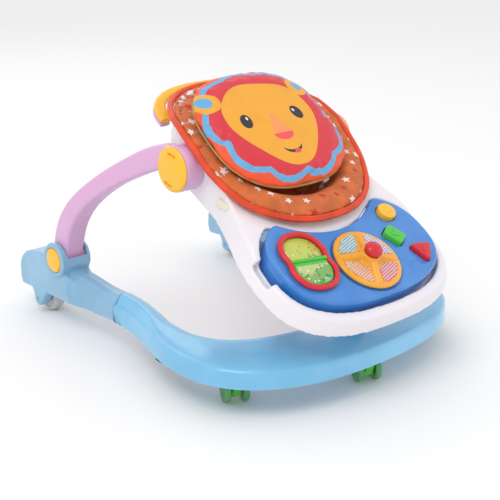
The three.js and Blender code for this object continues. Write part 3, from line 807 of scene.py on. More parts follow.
@dataclass(frozen=True)
class Metal(Finish):
    """Plain turned steel."""

    name: str = "turned_steel"
    colour: Colour = (0.6, 0.6, 0.62)

    def recipe(self) -> Recipe:
        """Writes the material.

        Returns:
            The material's recipe.
        """
        r = Recipe(self.name)
        lines = r.noise(1.0, 3.0, r.node(
            "ShaderNodeMapping", {}, Vector=r.place, Scale=(2500.0, 80.0, 80.0)
        ))
        r.set(
            Base_Color=r.mix(r.noise(30.0, 3.0), self.colour, (0.42, 0.41, 0.4)),
            Metallic=1.0,
            Roughness=0.25 + lines * 0.2,
            Normal=r.bump(lines, 0.3, 0.00005),
        )
        return r


@dataclass(frozen=True)
class Woven(Finish):
    """Plain woven cloth that follows the piece's own cloth attribute, in millimetres."""

    name: str
    colour: Colour
    thread: float = 0.55
    rough: float = 0.85
    stars: bool = False

    def star(self, r: Recipe, cloth: Flow) -> tuple[Flow, Flow]:
        """Scatters five-point stars over the cloth.

        Args:
            r: the material's recipe.
            cloth: the place on the cloth, in millimetres.
        Returns:
            The mask, and 1 for a pale star or 0 for a red one.
        """
        cells = r.cells(cloth, 27.0, 0.45)
        away = r.node("ShaderNodeVectorMath", {"operation": "SUBTRACT"}, cloth, cells.part(2))
        x, y, _ = r.split(away)
        chance, spin, _ = r.split(cells.part(1))
        reach = (x * x + y * y).of("SQRT")
        share = (y.of("ARCTAN2", x) / TURN + spin) * 5 + 10
        bend = (share.of("FRACT") - 0.5).of("ABSOLUTE") * math.radians(72)
        tip, notch, corner = 7.8, 3.6, math.radians(36)
        edge = tip * notch * math.sin(corner) / (
            bend.of("SINE") * tip + (corner - bend).of("SINE") * notch
        )
        return r.step(reach - edge * (0.8 + spin * 0.3), 0.25, -0.25), r.step(chance, 0.42, 0.45)

    def recipe(self) -> Recipe:
        """Writes the material.

        Returns:
            The material's recipe.
        """
        r = Recipe(self.name)
        cloth = r.node("ShaderNodeAttribute", {"attribute_name": "cloth"}).part(1)
        s, t, _ = r.split(cloth)
        over = (s * (math.pi / self.thread)).of("SINE")
        under = (t * (math.pi / self.thread)).of("SINE")
        weave = over * under
        shade = r.noise(45.0, 4.0)
        deep = tuple(c * 0.72 for c in self.colour)
        body = r.mix(r.step(shade, 0.25, 0.75), deep, self.colour)
        if self.stars:
            mask, white = self.star(r, cloth)
            ink = r.mix(white, (0.5, 0.025, 0.01), (0.86, 0.8, 0.78))
            body = r.mix(mask * 0.97, body, ink)
        r.set(
            Base_Color=r.mix((weave * 0.5 + 0.5) * 0.1, body, deep),
            Roughness=self.rough - weave * 0.05,
            Sheen_Weight=0.06,
            Normal=r.bump(weave * 0.35 + r.noise(260.0, 3.0), 0.5, 0.00022),
        )
        return r


@dataclass(frozen=True)
class FacePrint(Finish):
    """A friendly animal face of plain shapes, printed on smooth cloth in the seat's plane."""

    name: str
    place: tuple[float, float, float]
    tilt: float
    border: Colour = (0.86, 0.085, 0.018)
    line: Colour = (0.11, 0.4, 0.72)
    mane: Colour = (0.68, 0.022, 0.042)
    skin: Colour = (0.87, 0.385, 0.02)
    ink: Colour = (0.012, 0.014, 0.02)
    back: Colour = (0.42, 0.26, 0.08)

    def oval(self, r: Recipe, x: Flow, y: Flow, shape: Sequence[float]) -> Flow:
        """Returns the mask of an oval given by centre, half sizes and turn in degrees.

        Args:
            r: the material's recipe.
            x: the place across.
            y: the place up.
            shape: centre x and y, half sizes and turn.
        Returns:
            1 inside the oval and 0 outside.
        """
        cx, cy, hx, hy, turn = shape
        c, s = math.cos(math.radians(turn)), math.sin(math.radians(turn))
        u = ((x - cx) * c + (y - cy) * s) / hx
        v = ((y - cy) * c - (x - cx) * s) / hy
        soft = 0.35 / min(hx, hy)
        return r.step((u * u + v * v).of("SQRT"), 1 + soft, 1 - soft)

    def recipe(self) -> Recipe:
        """Writes the material.

        Returns:
            The material's recipe.
        """
        r = Recipe(self.name)
        x, y, z = r.plane(self.place, self.tilt)
        side = x.of("ABSOLUTE")
        across = ((x - 5) / CUSHION_HALF[0]).of("ABSOLUTE")
        along = ((y - 3) / CUSHION_HALF[1]).of("ABSOLUTE")
        reach = (across ** 2.3 + along ** 2.3) ** 0.435
        turn = y.of("ARCTAN2", x)
        lobes = (turn * 4.5 + 0.6).of("SINE").of("ABSOLUTE")
        outer = reach - lobes * 0.07
        cloth = r.mix(r.step(outer, 0.872, 0.865), self.border, self.line)
        cloth = r.mix(r.step(outer, 0.805, 0.798), cloth, self.mane)
        # The face: wide above, narrow at the chin.
        wide = 90 + y * 0.10
        chin = r.step(y, -96, 10) * 0.30 + 0.70
        face = ((side / (wide * chin)) ** 2.3 + ((y + 6) / 88).of("ABSOLUTE") ** 2.4) ** 0.43
        ear, lining = (98, 64, 21, 25, -30), (101, 66, 11, 15, -30)
        cloth = r.mix(self.oval(r, side, y, ear), cloth, self.skin)
        cloth = r.mix(self.oval(r, side, y, lining), cloth, self.line)
        tuft = (x * 0.06).of("SINE") * 3
        face = face + tuft * r.step(y, 30, 70) * 0.008
        cloth = r.mix(r.step(face, 1.004, 0.996), cloth, self.skin)
        # Eyes with a glint, a two-colour nose and a small smile.
        eye = (55, 6, 11, 14.5, 12)
        cloth = r.mix(self.oval(r, side, y, eye), cloth, self.ink)
        glint = self.oval(r, side, y, (51, 11.5, 2.2, 3.4, 10))
        cloth = r.mix(glint, cloth, (0.85, 0.8, 0.75))
        down = y * -1 + 12
        bridge = side - (down * 0.36 + 3)
        nose = r.step(bridge, 0.4, -0.4) * r.step(down, -0.4, 0.4) * r.step(y, -31.4, -30.6)
        cloth = r.mix(nose, cloth, (1.0, 0.3, 0.09))
        tip = self.oval(r, x, y, (0, -31, 20, 13, 0)) * r.step(y, -28.6, -29.4)
        cloth = r.mix(tip, cloth, (0.9, 0.075, 0.09))
        mouth, lip, tongue = (0, -56, 20, 15, 0), (0, -51, 22, 14, 0), (5, -69, 7, 4, 10)
        smile = self.oval(r, x, y, mouth) * (1 - self.oval(r, x, y, lip))
        cloth = r.mix(smile, cloth, self.ink)
        cloth = r.mix(self.oval(r, x, y, tongue), cloth, (0.8, 0.06, 0.08))
        cloth = r.mix(r.step(z, 50, 47), cloth, self.back)
        weave = (x * 9.0).of("SINE") * (y * 9.0).of("SINE")
        cloud = r.noise(26.0, 4.0)
        r.set(
            Base_Color=r.mix(r.step(cloud, 0.4, 0.8) * 0.1, cloth, (0.4, 0.1, 0.03)),
            Roughness=0.42 + cloud * 0.16,
            Sheen_Weight=0.02,
            Coat_Weight=0.12,
            Coat_Roughness=0.3,
            Normal=r.bump(weave * 0.2 + cloud * 2, 0.35, 0.0003),
        )
        return r


@dataclass(frozen=True)
class PictureCard(Finish):
    """A printed meadow scene of plain blobs on card, in the seat's plane."""

    name: str
    place: tuple[float, float, float]
    tilt: float
    sky: Colour = (0.52, 0.62, 0.1)
    grass: Colour = (0.16, 0.42, 0.05)
    spots: Colour = (0.72, 0.06, 0.2)

    def recipe(self) -> Recipe:
        """Writes the material.

        Returns:
            The material's recipe.
        """
        r = Recipe(self.name)
        x, y, _ = r.plane(self.place, self.tilt)
        hill = y - (x * 0.09).of("SINE") * 6
        field = r.mix(r.step(hill, 6, -3), self.sky, self.grass)
        field = r.mix(r.step(hill, -18, -24), field, (0.28, 0.55, 0.34))
        bush = r.step(r.noise(150.0, 2.0), 0.58, 0.62) * r.step(hill, 14, 2)
        field = r.mix(bush, field, (0.06, 0.26, 0.03))
        cells = r.cells(r.vector(x, y), 7.5, 0.9)
        chance, tone, _ = r.split(cells.part(1))
        dots = r.step(cells, 0.24, 0.2) * r.step(chance, 0.6, 0.62)
        ink = r.mix(r.step(tone, 0.5, 0.52), self.spots, (0.85, 0.82, 0.72))
        r.set(
            Base_Color=r.mix(dots, field, ink),
            Roughness=0.28 + r.noise(80.0) * 0.08,
            Coat_Weight=0.3,
            Normal=r.bump(r.noise(500.0), 0.2, 0.00005),
        )
        return r


@dataclass(frozen=True)
class DottedLabel(Finish):
    """A glossy printed label with small pale dots, in the seat's plane."""

    name: str
    place: tuple[float, float, float]
    tilt: float
    ground: Colour = (0.2, 0.45, 0.55)
    dot: Colour = (0.85, 0.85, 0.8)

    def recipe(self) -> Recipe:
        """Writes the material.

        Returns:
            The material's recipe.
        """
        r = Recipe(self.name)
        x, y, _ = r.plane(self.place, self.tilt, math.radians(20))
        cells = r.cells(r.vector(x, y), 4.2, 0.15)
        ink = r.mix(r.step(cells, 0.33, 0.25), self.ground, self.dot)
        r.set(
            Base_Color=r.mix(r.noise(70.0) * 0.15, ink, (1.0, 1.0, 1.0)),
            Roughness=0.25 + r.noise(200.0) * 0.1,
            Coat_Weight=0.3,
            Normal=r.bump(r.noise(900.0), 0.15, 0.00004),
        )
        return r


class Plastics(Enum):
    """The plastics of the walker."""

    SKY = Moulded("sky_blue_plastic", (0.2, 0.56, 0.86), 0.2, 0.45)
    DUSTY = Moulded("dusty_blue_plastic", (0.25, 0.5, 0.72), 0.24, 0.35)
    MAUVE = Moulded("mauve_plastic", (0.52, 0.2, 0.42), 0.34, 0.18)
    AMBER = Moulded("amber_plastic", (0.9, 0.38, 0.003), 0.24, 0.35)
    DIAL = Moulded("dial_plastic", (0.95, 0.4, 0.01), 0.28, 0.3)
    WHITE = Moulded("white_plastic", (0.7, 0.665, 0.7), 0.27, 0.35)
    GREY = Moulded("wheel_plastic", (0.62, 0.63, 0.62), 0.4, 0.1)
    ROYAL = Moulded("royal_blue_plastic", (0.018, 0.22, 0.68), 0.2, 0.45)
    RED = Moulded("red_plastic", (0.56, 0.008, 0.014), 0.2, 0.5)
    GREEN = Moulded("green_plastic", (0.09, 0.46, 0.03), 0.26, 0.35)
    SMOKE = Moulded("smoke_green_plastic", (0.07, 0.32, 0.05), 0.14, 0.3, clear=0.45)
    LIME = Moulded("lime_plastic", (0.27, 0.68, 0.03), 0.3, 0.3)
    CLIP = Moulded("clip_plastic", (0.78, 0.72, 0.62), 0.3, 0.2, clear=0.35)
    BOARD = Moulded("board_green", (0.03, 0.16, 0.05), 0.4, 0.1)


# ------------------------------------------------------------------ assemblies
@dataclass
class Assembly:
    """A group of pieces that know the frame and how they are handed over."""

    frame: dict

    @property
    def hub(self) -> Vector:
        """The middle of the hub axis, in metres."""
        at = next(j for j in self.frame["joints"] if j["name"] == "seat_level")["pos_m"]
        return Vector((0, at[1], at[2]))

    @property
    def tilt(self) -> float:
        """How far the seat leans, in radians."""
        axis = next(j for j in self.frame["joints"] if j["name"] == "console_lift")["axis"]
        return math.atan2(-axis[1], axis[2])

    @property
    def level(self) -> Matrix:
        """From level millimetres to the frame."""
        return Matrix.Translation((0, self.hub.y, 0)) @ Matrix.Scale(MM, 4)

    @property
    def seat(self) -> Matrix:
        """From the seat's millimetres to the frame."""
        return Matrix.Translation(self.hub) @ Matrix.Rotation(self.tilt, 4, "X") @ Matrix.Scale(MM, 4)

    def hand_over(
        self,
        piece: bpy.types.Object,
        body: str,
        finish: Finish | Plastics,
        slot: str,
        *nodes: str,
    ) -> bpy.types.Object:
        """Dresses a piece and ties it to the frame.

        Args:
            piece: the finished mesh, in its place.
            body: the body that it moves with.
            finish: its surface.
            slot: the record's material slot; not used.
            nodes: the frame nodes that it stands for.
        Returns:
            The piece.
        """
        made = finish.value if isinstance(finish, Enum) else finish
        piece.data.materials.clear()
        piece.data.materials.append(made.material())
        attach(piece, body)
        if nodes:
            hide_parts(*nodes)
        LOG.info("%s: %d faces on %s", piece.name, len(piece.data.polygons), body)
        return piece

    def stood(self, piece: bpy.types.Object, where: Matrix) -> bpy.types.Object:
        """Moves a piece from its own millimetres into the frame."""
        piece.data.transform(where)
        return piece

    def keep(self, finish: Finish | Plastics, *nodes: str) -> None:
        """Shows frame nodes as they are, with a finish.

        Args:
            finish: the surface.
            nodes: the frame nodes' names.
        """
        made = finish.value if isinstance(finish, Enum) else finish
        for name in nodes:
            node = self.frame["nodes"][name]
            node.data.materials.clear()
            node.data.materials.append(made.material())
            LOG.info("%s: kept", name)


@dataclass
class Base(Assembly):
    """The U-shaped base, its feet, post, stoppers and wheels."""

    under: float = 50.0
    seam: float = 110.0
    front_share: float = 0.62
    wall: float = 3.0
    gap: float = 0.3
    castor_radius: float = 22.0
    castor_turn: float = math.radians(-25)
    trail: float = 14.0
    half_width: tuple[float, float] = (276.5, 212.0)
    bend: tuple[float, float] = (-117.0, -70.0)
    bow: tuple[float, float] = (188.0, 116.0)
    rear_wheel: tuple[float, float, float] = (227.0, 335.0, 28.0)
    stopper: tuple[float, float] = (246.0, -48.0)
    castors: dict = field(
        default_factory=lambda: {"right": (-210, -189), "left": (210, -189), "front": (0, -274)}
    )

    def edges(self, t: Array) -> tuple[Array, Array]:
        """Returns the outer and inner edge of the U for t from 0 in front to 1 at the seam.

        Args:
            t: the places along one side.
        Returns:
            Rows of x and y of the outer and of the inner edge.
        """
        front = np.minimum(t / self.front_share, 1) * math.pi / 2
        back = np.maximum((t - self.front_share) / (1 - self.front_share), 0)
        power = 2 / 2.4
        s, c = np.sin(front) ** power, np.maximum(np.cos(front), 0) ** power
        end, on = self.seam - self.gap, back > 0
        lines = []
        for half, bend, bow, taper in zip(
            self.half_width, self.bend, self.bow, (37.5 * ease(0, 0.9, back), 18 * ease(0, 1, back))
        ):
            line = np.stack([-half * s, bend - bow * c], 1)
            line[on] = np.stack([-half + taper, bend + (end - bend) * back], 1)[on]
            lines.append(line)
        return lines[0], lines[1]

    def shell(self) -> None:
        """Builds the hollow U with a crease between its side and its broad top."""

        def place(u: Array, v: Array) -> Array:
            """Gives the skin of the hollow U.

            Args:
                u: 0 to 1 from one end of the U to the other.
                v: 0 to 1 across its outside and back across its inside.
            Returns:
                Rows of x, y and z.
            """
            t = np.abs(2 * u - 1)
            outer, inner = self.edges(t)
            width = np.linalg.norm(inner - outer, axis=1)
            ridge = 0.5 + 0.38 * ease(50, 100, width)
            high = 97 - 7 * ease(45, 70, width)
            rows = [
                (0, self.under),
                (0.6 / width, 72),
                (1.6 / width, 76.5),
                (5.0 / width, 80),
                (9.0 / width, 81.6),
                (6 / width * 0.5 + ridge * 0.5, 81 + (high - 81) * 0.62 + 0.8),
                (ridge * 0.85, high - 1.1),
                (ridge, high),
                (ridge * 0.45 + 0.55, high - 1.6),
                (1 - 5 / width, high - 4.5),
                (1 - 1.6 / width, high - 8.5),
                (1 - 0.3 / width, high - 14),
                (1, self.under),
            ]
            share, z = np.empty((len(rows), len(u))), np.empty((len(rows), len(u)))
            for k, (a, b) in enumerate(rows):
                share[k], z[k] = a, b
            # The outside runs to v = 0.5, and the inside comes back, one wall thinner.
            at = np.where(v <= 0.5, v * 2, (1 - v) * 2) * (len(rows) - 1)
            low = np.clip(np.floor(at).astype(int), 0, len(rows) - 2)
            part = at - low
            column = np.arange(len(u))
            w = share[low, column] * (1 - part) + share[low + 1, column] * part
            height = z[low, column] * (1 - part) + z[low + 1, column] * part
            inside = v > 0.5
            rim = self.wall / width
            w = np.where(inside, rim + w * (1 - 2 * rim), w)
            height = np.where(inside & (height > self.under + 0.01), height - self.wall, height)
            flat = outer * (1 - w)[:, None] + inner * w[:, None]
            flip = np.where(u > 0.5, -1, 1)
            return np.stack([flat[:, 0] * flip, flat[:, 1], height], 1)

        piece = Bench.wrapped("base_shell", 240, 50, place)
        bosses = []
        for name, (x, y) in self.castors.items():
            tube = [(4.8, 52), (4.8, 74), (0, 74), (0, 78), (11, 78), (11, 52), (4.8, 52)]
            bosses.append(Bench.turned_on(f"boss_{name}", tube, "z", (x, y, 0), 40))
        Bench.joined(piece, *bosses)
        self.stood(Bench.smooth(piece, 50), self.level)
        self.hand_over(piece, "base", Plastics.SKY, "sky_plastic", "base_front")

    def feet(self) -> None:
        """Builds both rear feet as one soft moulded form each."""
        rim = [(24.2, 0), (24.4, 4.0), (26, 5.2), (29.4, 5.2), (31.6, 3.6), (32.6, 0), (24.2, 0)]
        rim_line = eased_corners(rim, 0.8, 3)
        cap_line = eased_corners([(0, 6.9), (19.5, 6.4), (22.4, 4.2), (22.8, 0.4), (0, 0.4)], 1.4)
        for side, sign in SIDES:
            node = self.frame["nodes"][f"rear_foot_{side}"]
            piece = Bench.copied(node, f"foot_{side}")
            Bench.fused(piece, voxel=0.0014, rounds=9)
            self.hand_over(piece, "base", Plastics.DUSTY, "dusty_plastic", f"rear_foot_{side}")
            profile = [(a, sign * (257.6 + b)) for a, b in rim_line]
            ring = Bench.turned_on(f"foot_ring_{side}", profile, "x", FOOT_PIVOT)
            self.stood(Bench.smooth(ring), self.level)
            self.hand_over(ring, "base", Plastics.DUSTY, "dusty_plastic")
            cap = [(a, sign * (258 + b)) for a, b in cap_line]
            piece = Bench.turned_on(f"cap_{side}", cap, "x", FOOT_PIVOT)
            self.stood(Bench.smooth(piece), self.level)
            self.hand_over(piece, "base", Plastics.AMBER, "amber_plastic", f"pivot_cap_{side}")

    def wheels(self) -> None:
        """Builds the rear wheels and the castors."""
        tread = [(3.7, -11), (9, -11), (10, -8), (20, -8), (21.5, -11), (26, -11), (28, -7.5)]
        line = tread + [(r, -h) for r, h in reversed(tread)] + [tread[0]]
        line = eased_corners(line, 1.2, 3)
        for side, sign in SIDES:
            x, y, z = self.rear_wheel
            wheel = Bench.turned_on(f"wheel_{side}", line, "x", (sign * x, y, z))
            self.stood(Bench.smooth(wheel), self.level)
            self.hand_over(
                wheel, f"rear_wheel_{side}_body", Plastics.GREY, "white_plastic",
                f"rear_wheel_{side}",
            )
        for name, (x, y) in self.castors.items():
            turn = Matrix.Translation((x, y, 0)) @ Matrix.Rotation(self.castor_turn, 4, "Z")
            self.fork(name, self.level @ turn)
            for end, sign in (("a", -1), ("b", 1)):
                self.castor_wheel(name, end, sign, self.level @ turn)

    def fork(self, name: str, where: Matrix) -> None:
        """Builds one castor's fork: a hood, a neck and the axle stubs.

        Args:
            name: the castor's name.
            where: from the castor's millimetres to the frame.
        """
        radius = self.castor_radius
        hood = [(0, -8.3), (13.2, -8.3), (14.2, -7), (14.2, 7), (13.2, 8.3), (0, 8.3)]
        fork = Bench.turned_on(f"fork_{name}", hood, "x", (0, self.trail, radius), 56)
        outline = [(-10, 44), (-11, 49), (11, 49), (27, 34), (28, 22), (2, 18), (-4, 26)]
        web = Bench.drawn("web", eased_corners(outline, 6, 5, True), -6.8, 6.8, 1.5, 3, True)
        neck = Bench.turned_on("neck", [(0, 43), (12, 43), (12, 49.3), (0, 49.3)], "z", (0, 0, 0), 48)
        stem = Bench.turned_on("stem", [(0, 40), (4, 40), (4, 73.5), (0, 73.5)], "z", (0, 0, 0), 32)
        stub = [(0, -20.4), (2.5, -20.4), (2.5, 20.4), (0, 20.4)]
        axle = Bench.turned_on("axle", stub, "x", (0, self.trail, radius), 32)
        Bench.joined(fork, web, neck, stem, axle)
        Bench.fused(fork, voxel=0.8, rounds=4)
        self.stood(fork, where)
        self.hand_over(fork, f"castor_{name}", Plastics.GREEN, "green_plastic", f"castor_fork_{name}")

    def castor_wheel(self, name: str, end: str, sign: int, where: Matrix) -> None:
        """Builds one twin wheel with a rounded tread and a dished face.

        Args:
            name: the castor's name.
            end: a or b.
            sign: the side of the fork, -1 or 1.
            where: from the castor's millimetres to the frame.
        """
        face = [(2.9, -5.4), (7, -5.4), (8, -3.2), (15.5, -3), (17, -5.2), (19.6, -5.3)]
        half = face + [(21.2, -4), (22, -1.8)]
        line = half + [(r, -h) for r, h in reversed(half)] + [half[0]]
        line = eased_corners(line, 0.8, 3)
        centre = (sign * 15.2, self.trail, self.castor_radius)
        wheel = Bench.turned_on(f"castor_{name}_{end}", line, "x", centre, 56)
        self.stood(Bench.smooth(wheel), where)
        self.hand_over(
            wheel, f"castor_wheel_{name}_{end}_body", Plastics.SMOKE, "smoke_green_plastic",
            f"castor_wheel_{name}_{end}",
        )

    def tray_under(self, y: Array) -> Array:
        """Returns the height of the tray's underside at each y, with the seat at rest."""
        return self.hub.z / MM + y * math.tan(self.tilt) - 14 / math.cos(self.tilt)

    def block(
        self, half: tuple[float, float], y0: float, low: float | None, drop: float, shrink: float
    ) -> Place:
        """Describes a block under the tray whose top follows the tray's slope.

        Args:
            half: half its width and half its depth.
            y0: its middle.
            low: height of its foot, or None for a thin pad that slopes below as above.
            drop: the gap between it and the tray.
            shrink: how much narrower it is at the top.
        Returns:
            The form, for Bench.wrapped.
        """
        thick, lean_back = 4.6, 4 if low else 0

        def place(u: Array, v: Array) -> Array:
            """Gives the block's skin.

            Args:
                u: 0 to 1 round the block.
                v: 0 to 1 up it.
            Returns:
                Rows of x, y and z.
            """
            x, y = power_ring(half[0], half[1], 4, u * TURN)
            inset = 1 - 0.04 * (np.clip(1 - v * 10, 0, 1) + np.clip(v * 10 - 9, 0, 1)) ** 2
            along = y0 + y * inset + lean_back * v
            top = self.tray_under(along) - drop
            bottom = low if low else self.tray_under(along) - thick
            return np.stack([x * inset * (1 - shrink * v), along, bottom + (top - bottom) * v], 1)

        return place

    def post_and_stops(self) -> None:
        """Builds the post under the tray and the friction stoppers."""
        post = Bench.wrapped("post", 64, 20, self.block((30, 14), -232, 89.3, 5.0, 0.2))
        self.stood(Bench.smooth(post, 50), self.level)
        self.hand_over(post, "base", Plastics.SKY, "sky_plastic", "front_post")
        pad = Bench.wrapped("post_rest", 64, 10, self.block((20, 8), -228, None, 0.7, 0.0))
        self.stood(Bench.smooth(pad, 50), self.level)
        self.hand_over(pad, "base", Rubber(), "rubber", "post_pad")
        for side, sign in SIDES:
            at = (sign * self.stopper[0], self.stopper[1])
            holder = Bench.drawn(f"stop_{side}", ring_points(13, 22, 4, 48, at), 40, 49.6, 1.4)
            key = Bench.drawn("key", ring_points(3, 6, 8, 24, at), 48, 61.8)
            Bench.joined(holder, key)
            self.stood(Bench.smooth(holder), self.level)
            self.hand_over(holder, "base", Plastics.LIME, "lime_plastic", f"stopper_holder_{side}")
            pad = Bench.drawn(f"stop_pad_{side}", ring_points(9, 18, 4, 48, at), 34, 39.6, 1.0)
            ribs = [
                Bench.drawn(f"rib{i}", ring_points(9.5, 0.7, 6, 16, (at[0], at[1] + i * 5)), 33, 35)
                for i in range(-3, 4)
            ]
            Bench.cut(pad, *ribs)
            self.stood(Bench.smooth(pad), self.level)
            self.hand_over(pad, "base", Rubber(), "rubber", f"stopper_pad_{side}")

    def build(self) -> None:
        """Builds every piece of the base."""
        self.shell()
        self.feet()
        self.wheels()
        self.post_and_stops()
        self.keep(
            Metal(), "rear_axle_right", "rear_axle_left", "pivot_pin_right", "pivot_pin_left"
        )


@dataclass
class Arms(Assembly):
    """The two side arms with their drums and adjusting knobs."""

    line: Sequence = (
        (262, 126, 22.5), (260, 150, 22.5), (250, 180, 22), (232, 212, 20), (207, 243, 18),
        (176, 272, 17), (142, 298, 17.5), (106, 320, 19), (70, 338, 20.5), (34, 349, 21.5),
        (6, 352, 22),
    )

    def spine(self, t: Array) -> tuple[Array, Array, Array]:
        """Returns place, direction across and half width along the arm for t from 0 to 1.

        Args:
            t: the places along the arm.
        Returns:
            The place and the direction across, as rows of y and z, and the half width.
        """
        p = np.array(self.line, float)
        at = t * (len(p) - 1)
        k = np.clip(np.floor(at).astype(int), 0, len(p) - 2)
        f = (at - k)[:, None]
        a, b, c, d = (p[np.clip(k + i, 0, len(p) - 1)] for i in (-1, 0, 1, 2))
        spot = 0.5 * (
            2 * b + (c - a) * f + (2 * a - 5 * b + 4 * c - d) * f**2 + (3 * b - a - 3 * c + d) * f**3
        )
        slope = 0.5 * (
            (c - a) + 2 * (2 * a - 5 * b + 4 * c - d) * f + 3 * (3 * b - a - 3 * c + d) * f**2
        )
        slope = slope[:, :2] / np.linalg.norm(slope[:, :2], axis=1)[:, None]
        return spot[:, :2], np.stack([slope[:, 1], -slope[:, 0]], 1), spot[:, 2]

    def arm(self) -> bpy.types.Object:
        """Builds the right arm.

        Returns:
            The arm, in level millimetres.
        """

        def place(u: Array, v: Array) -> Array:
            """Gives the arm's skin.

            Args:
                u: 0 to 1 round the arm.
                v: 0 to 1 along it.
            Returns:
                Rows of x, y and z.
            """
            spot, across, half = self.spine(v)
            c, s = power_ring(1, 1, 5, u * TURN)
            out_x = -(182.4 + 66.9 * ease(46, 250, spot[:, 0]))
            in_x = out_x + 27 + 14.8 * ease(60, 260, spot[:, 0])
            flat = spot + across * (s * half)[:, None]
            x = out_x + (in_x - out_x) * (c + 1) / 2
            return np.stack([x, flat[:, 0], flat[:, 1]], 1)

        hub_z = self.hub.z / MM
        arm = Bench.wrapped("arm_piece_right", 64, 100, place)
        drum_line = [
            (0, -182.5), (37.4, -182.5), (38.4, -181.4), (38.4, -150.8), (37.6, -150), (0, -150)
        ]
        drum = Bench.turned_on("drum", drum_line, "x", (0, 0, hub_z), 96)
        barrel_line = [(0, -249.2), (23.6, -249.2), (23.6, -207.6), (0, -207.6)]
        barrel = Bench.turned_on("barrel", barrel_line, "x", FOOT_PIVOT, 72)
        Bench.joined(arm, drum, barrel)
        Bench.fused(arm, voxel=1.5, rounds=5)
        return arm

    def knob(self) -> bpy.types.Object:
        """Builds the right adjusting knob: a domed disc with two curved finger slots.

        Returns:
            The knob, in level millimetres.
        """
        hub_z = self.hub.z / MM
        line = [(0, 8.2), (18, 7.9), (30, 6.9), (35.6, 5.2), (37.8, 2.6), (37.4, 0.3), (0, 0.3)]
        profile = [(r, -182.7 - h) for r, h in eased_corners(line, 2.2, 4)]
        knob = Bench.turned_on("knob_right_piece", profile, "x", (0, 0, hub_z), 120)
        tools = []
        for start in (0.44, 1.44):
            arc = []
            for radius, sweep in ((28.6, np.linspace(0, 1, 12)), (23.8, np.linspace(1, 0, 12))):
                angle = (start + 0.25 * sweep) * math.pi
                arc += [(radius * math.cos(a), hub_z + radius * math.sin(a)) for a in angle]
            outline = eased_corners(arc, 1.6, 3, True)
            tools.append(Bench.drawn("slot", outline, -196, -186.6, 0, 1, True))
        Bench.cut(knob, *tools)
        return Bench.eased(knob, 0.5, 2)

    def build(self) -> None:
        """Builds both sides."""
        arm, knob = self.arm(), self.knob()
        self.stood(arm, self.level)
        self.stood(knob, self.level)
        sides = {
            "right": (arm, knob),
            "left": (
                Bench.mirrored(arm, "arm_piece_left"),
                Bench.mirrored(knob, "knob_left_piece"),
            ),
        }
        for side, (limb, turner) in sides.items():
            self.hand_over(limb, f"arm_{side}_body", Plastics.MAUVE, "mauve_plastic", f"arm_{side}")
            Bench.smooth(turner, 30)
            self.hand_over(
                turner, f"knob_{side}", Plastics.AMBER, "amber_plastic", f"hub_knob_{side}"
            )
        self.keep(Metal(), "hub_bolt_right", "hub_bolt_left")


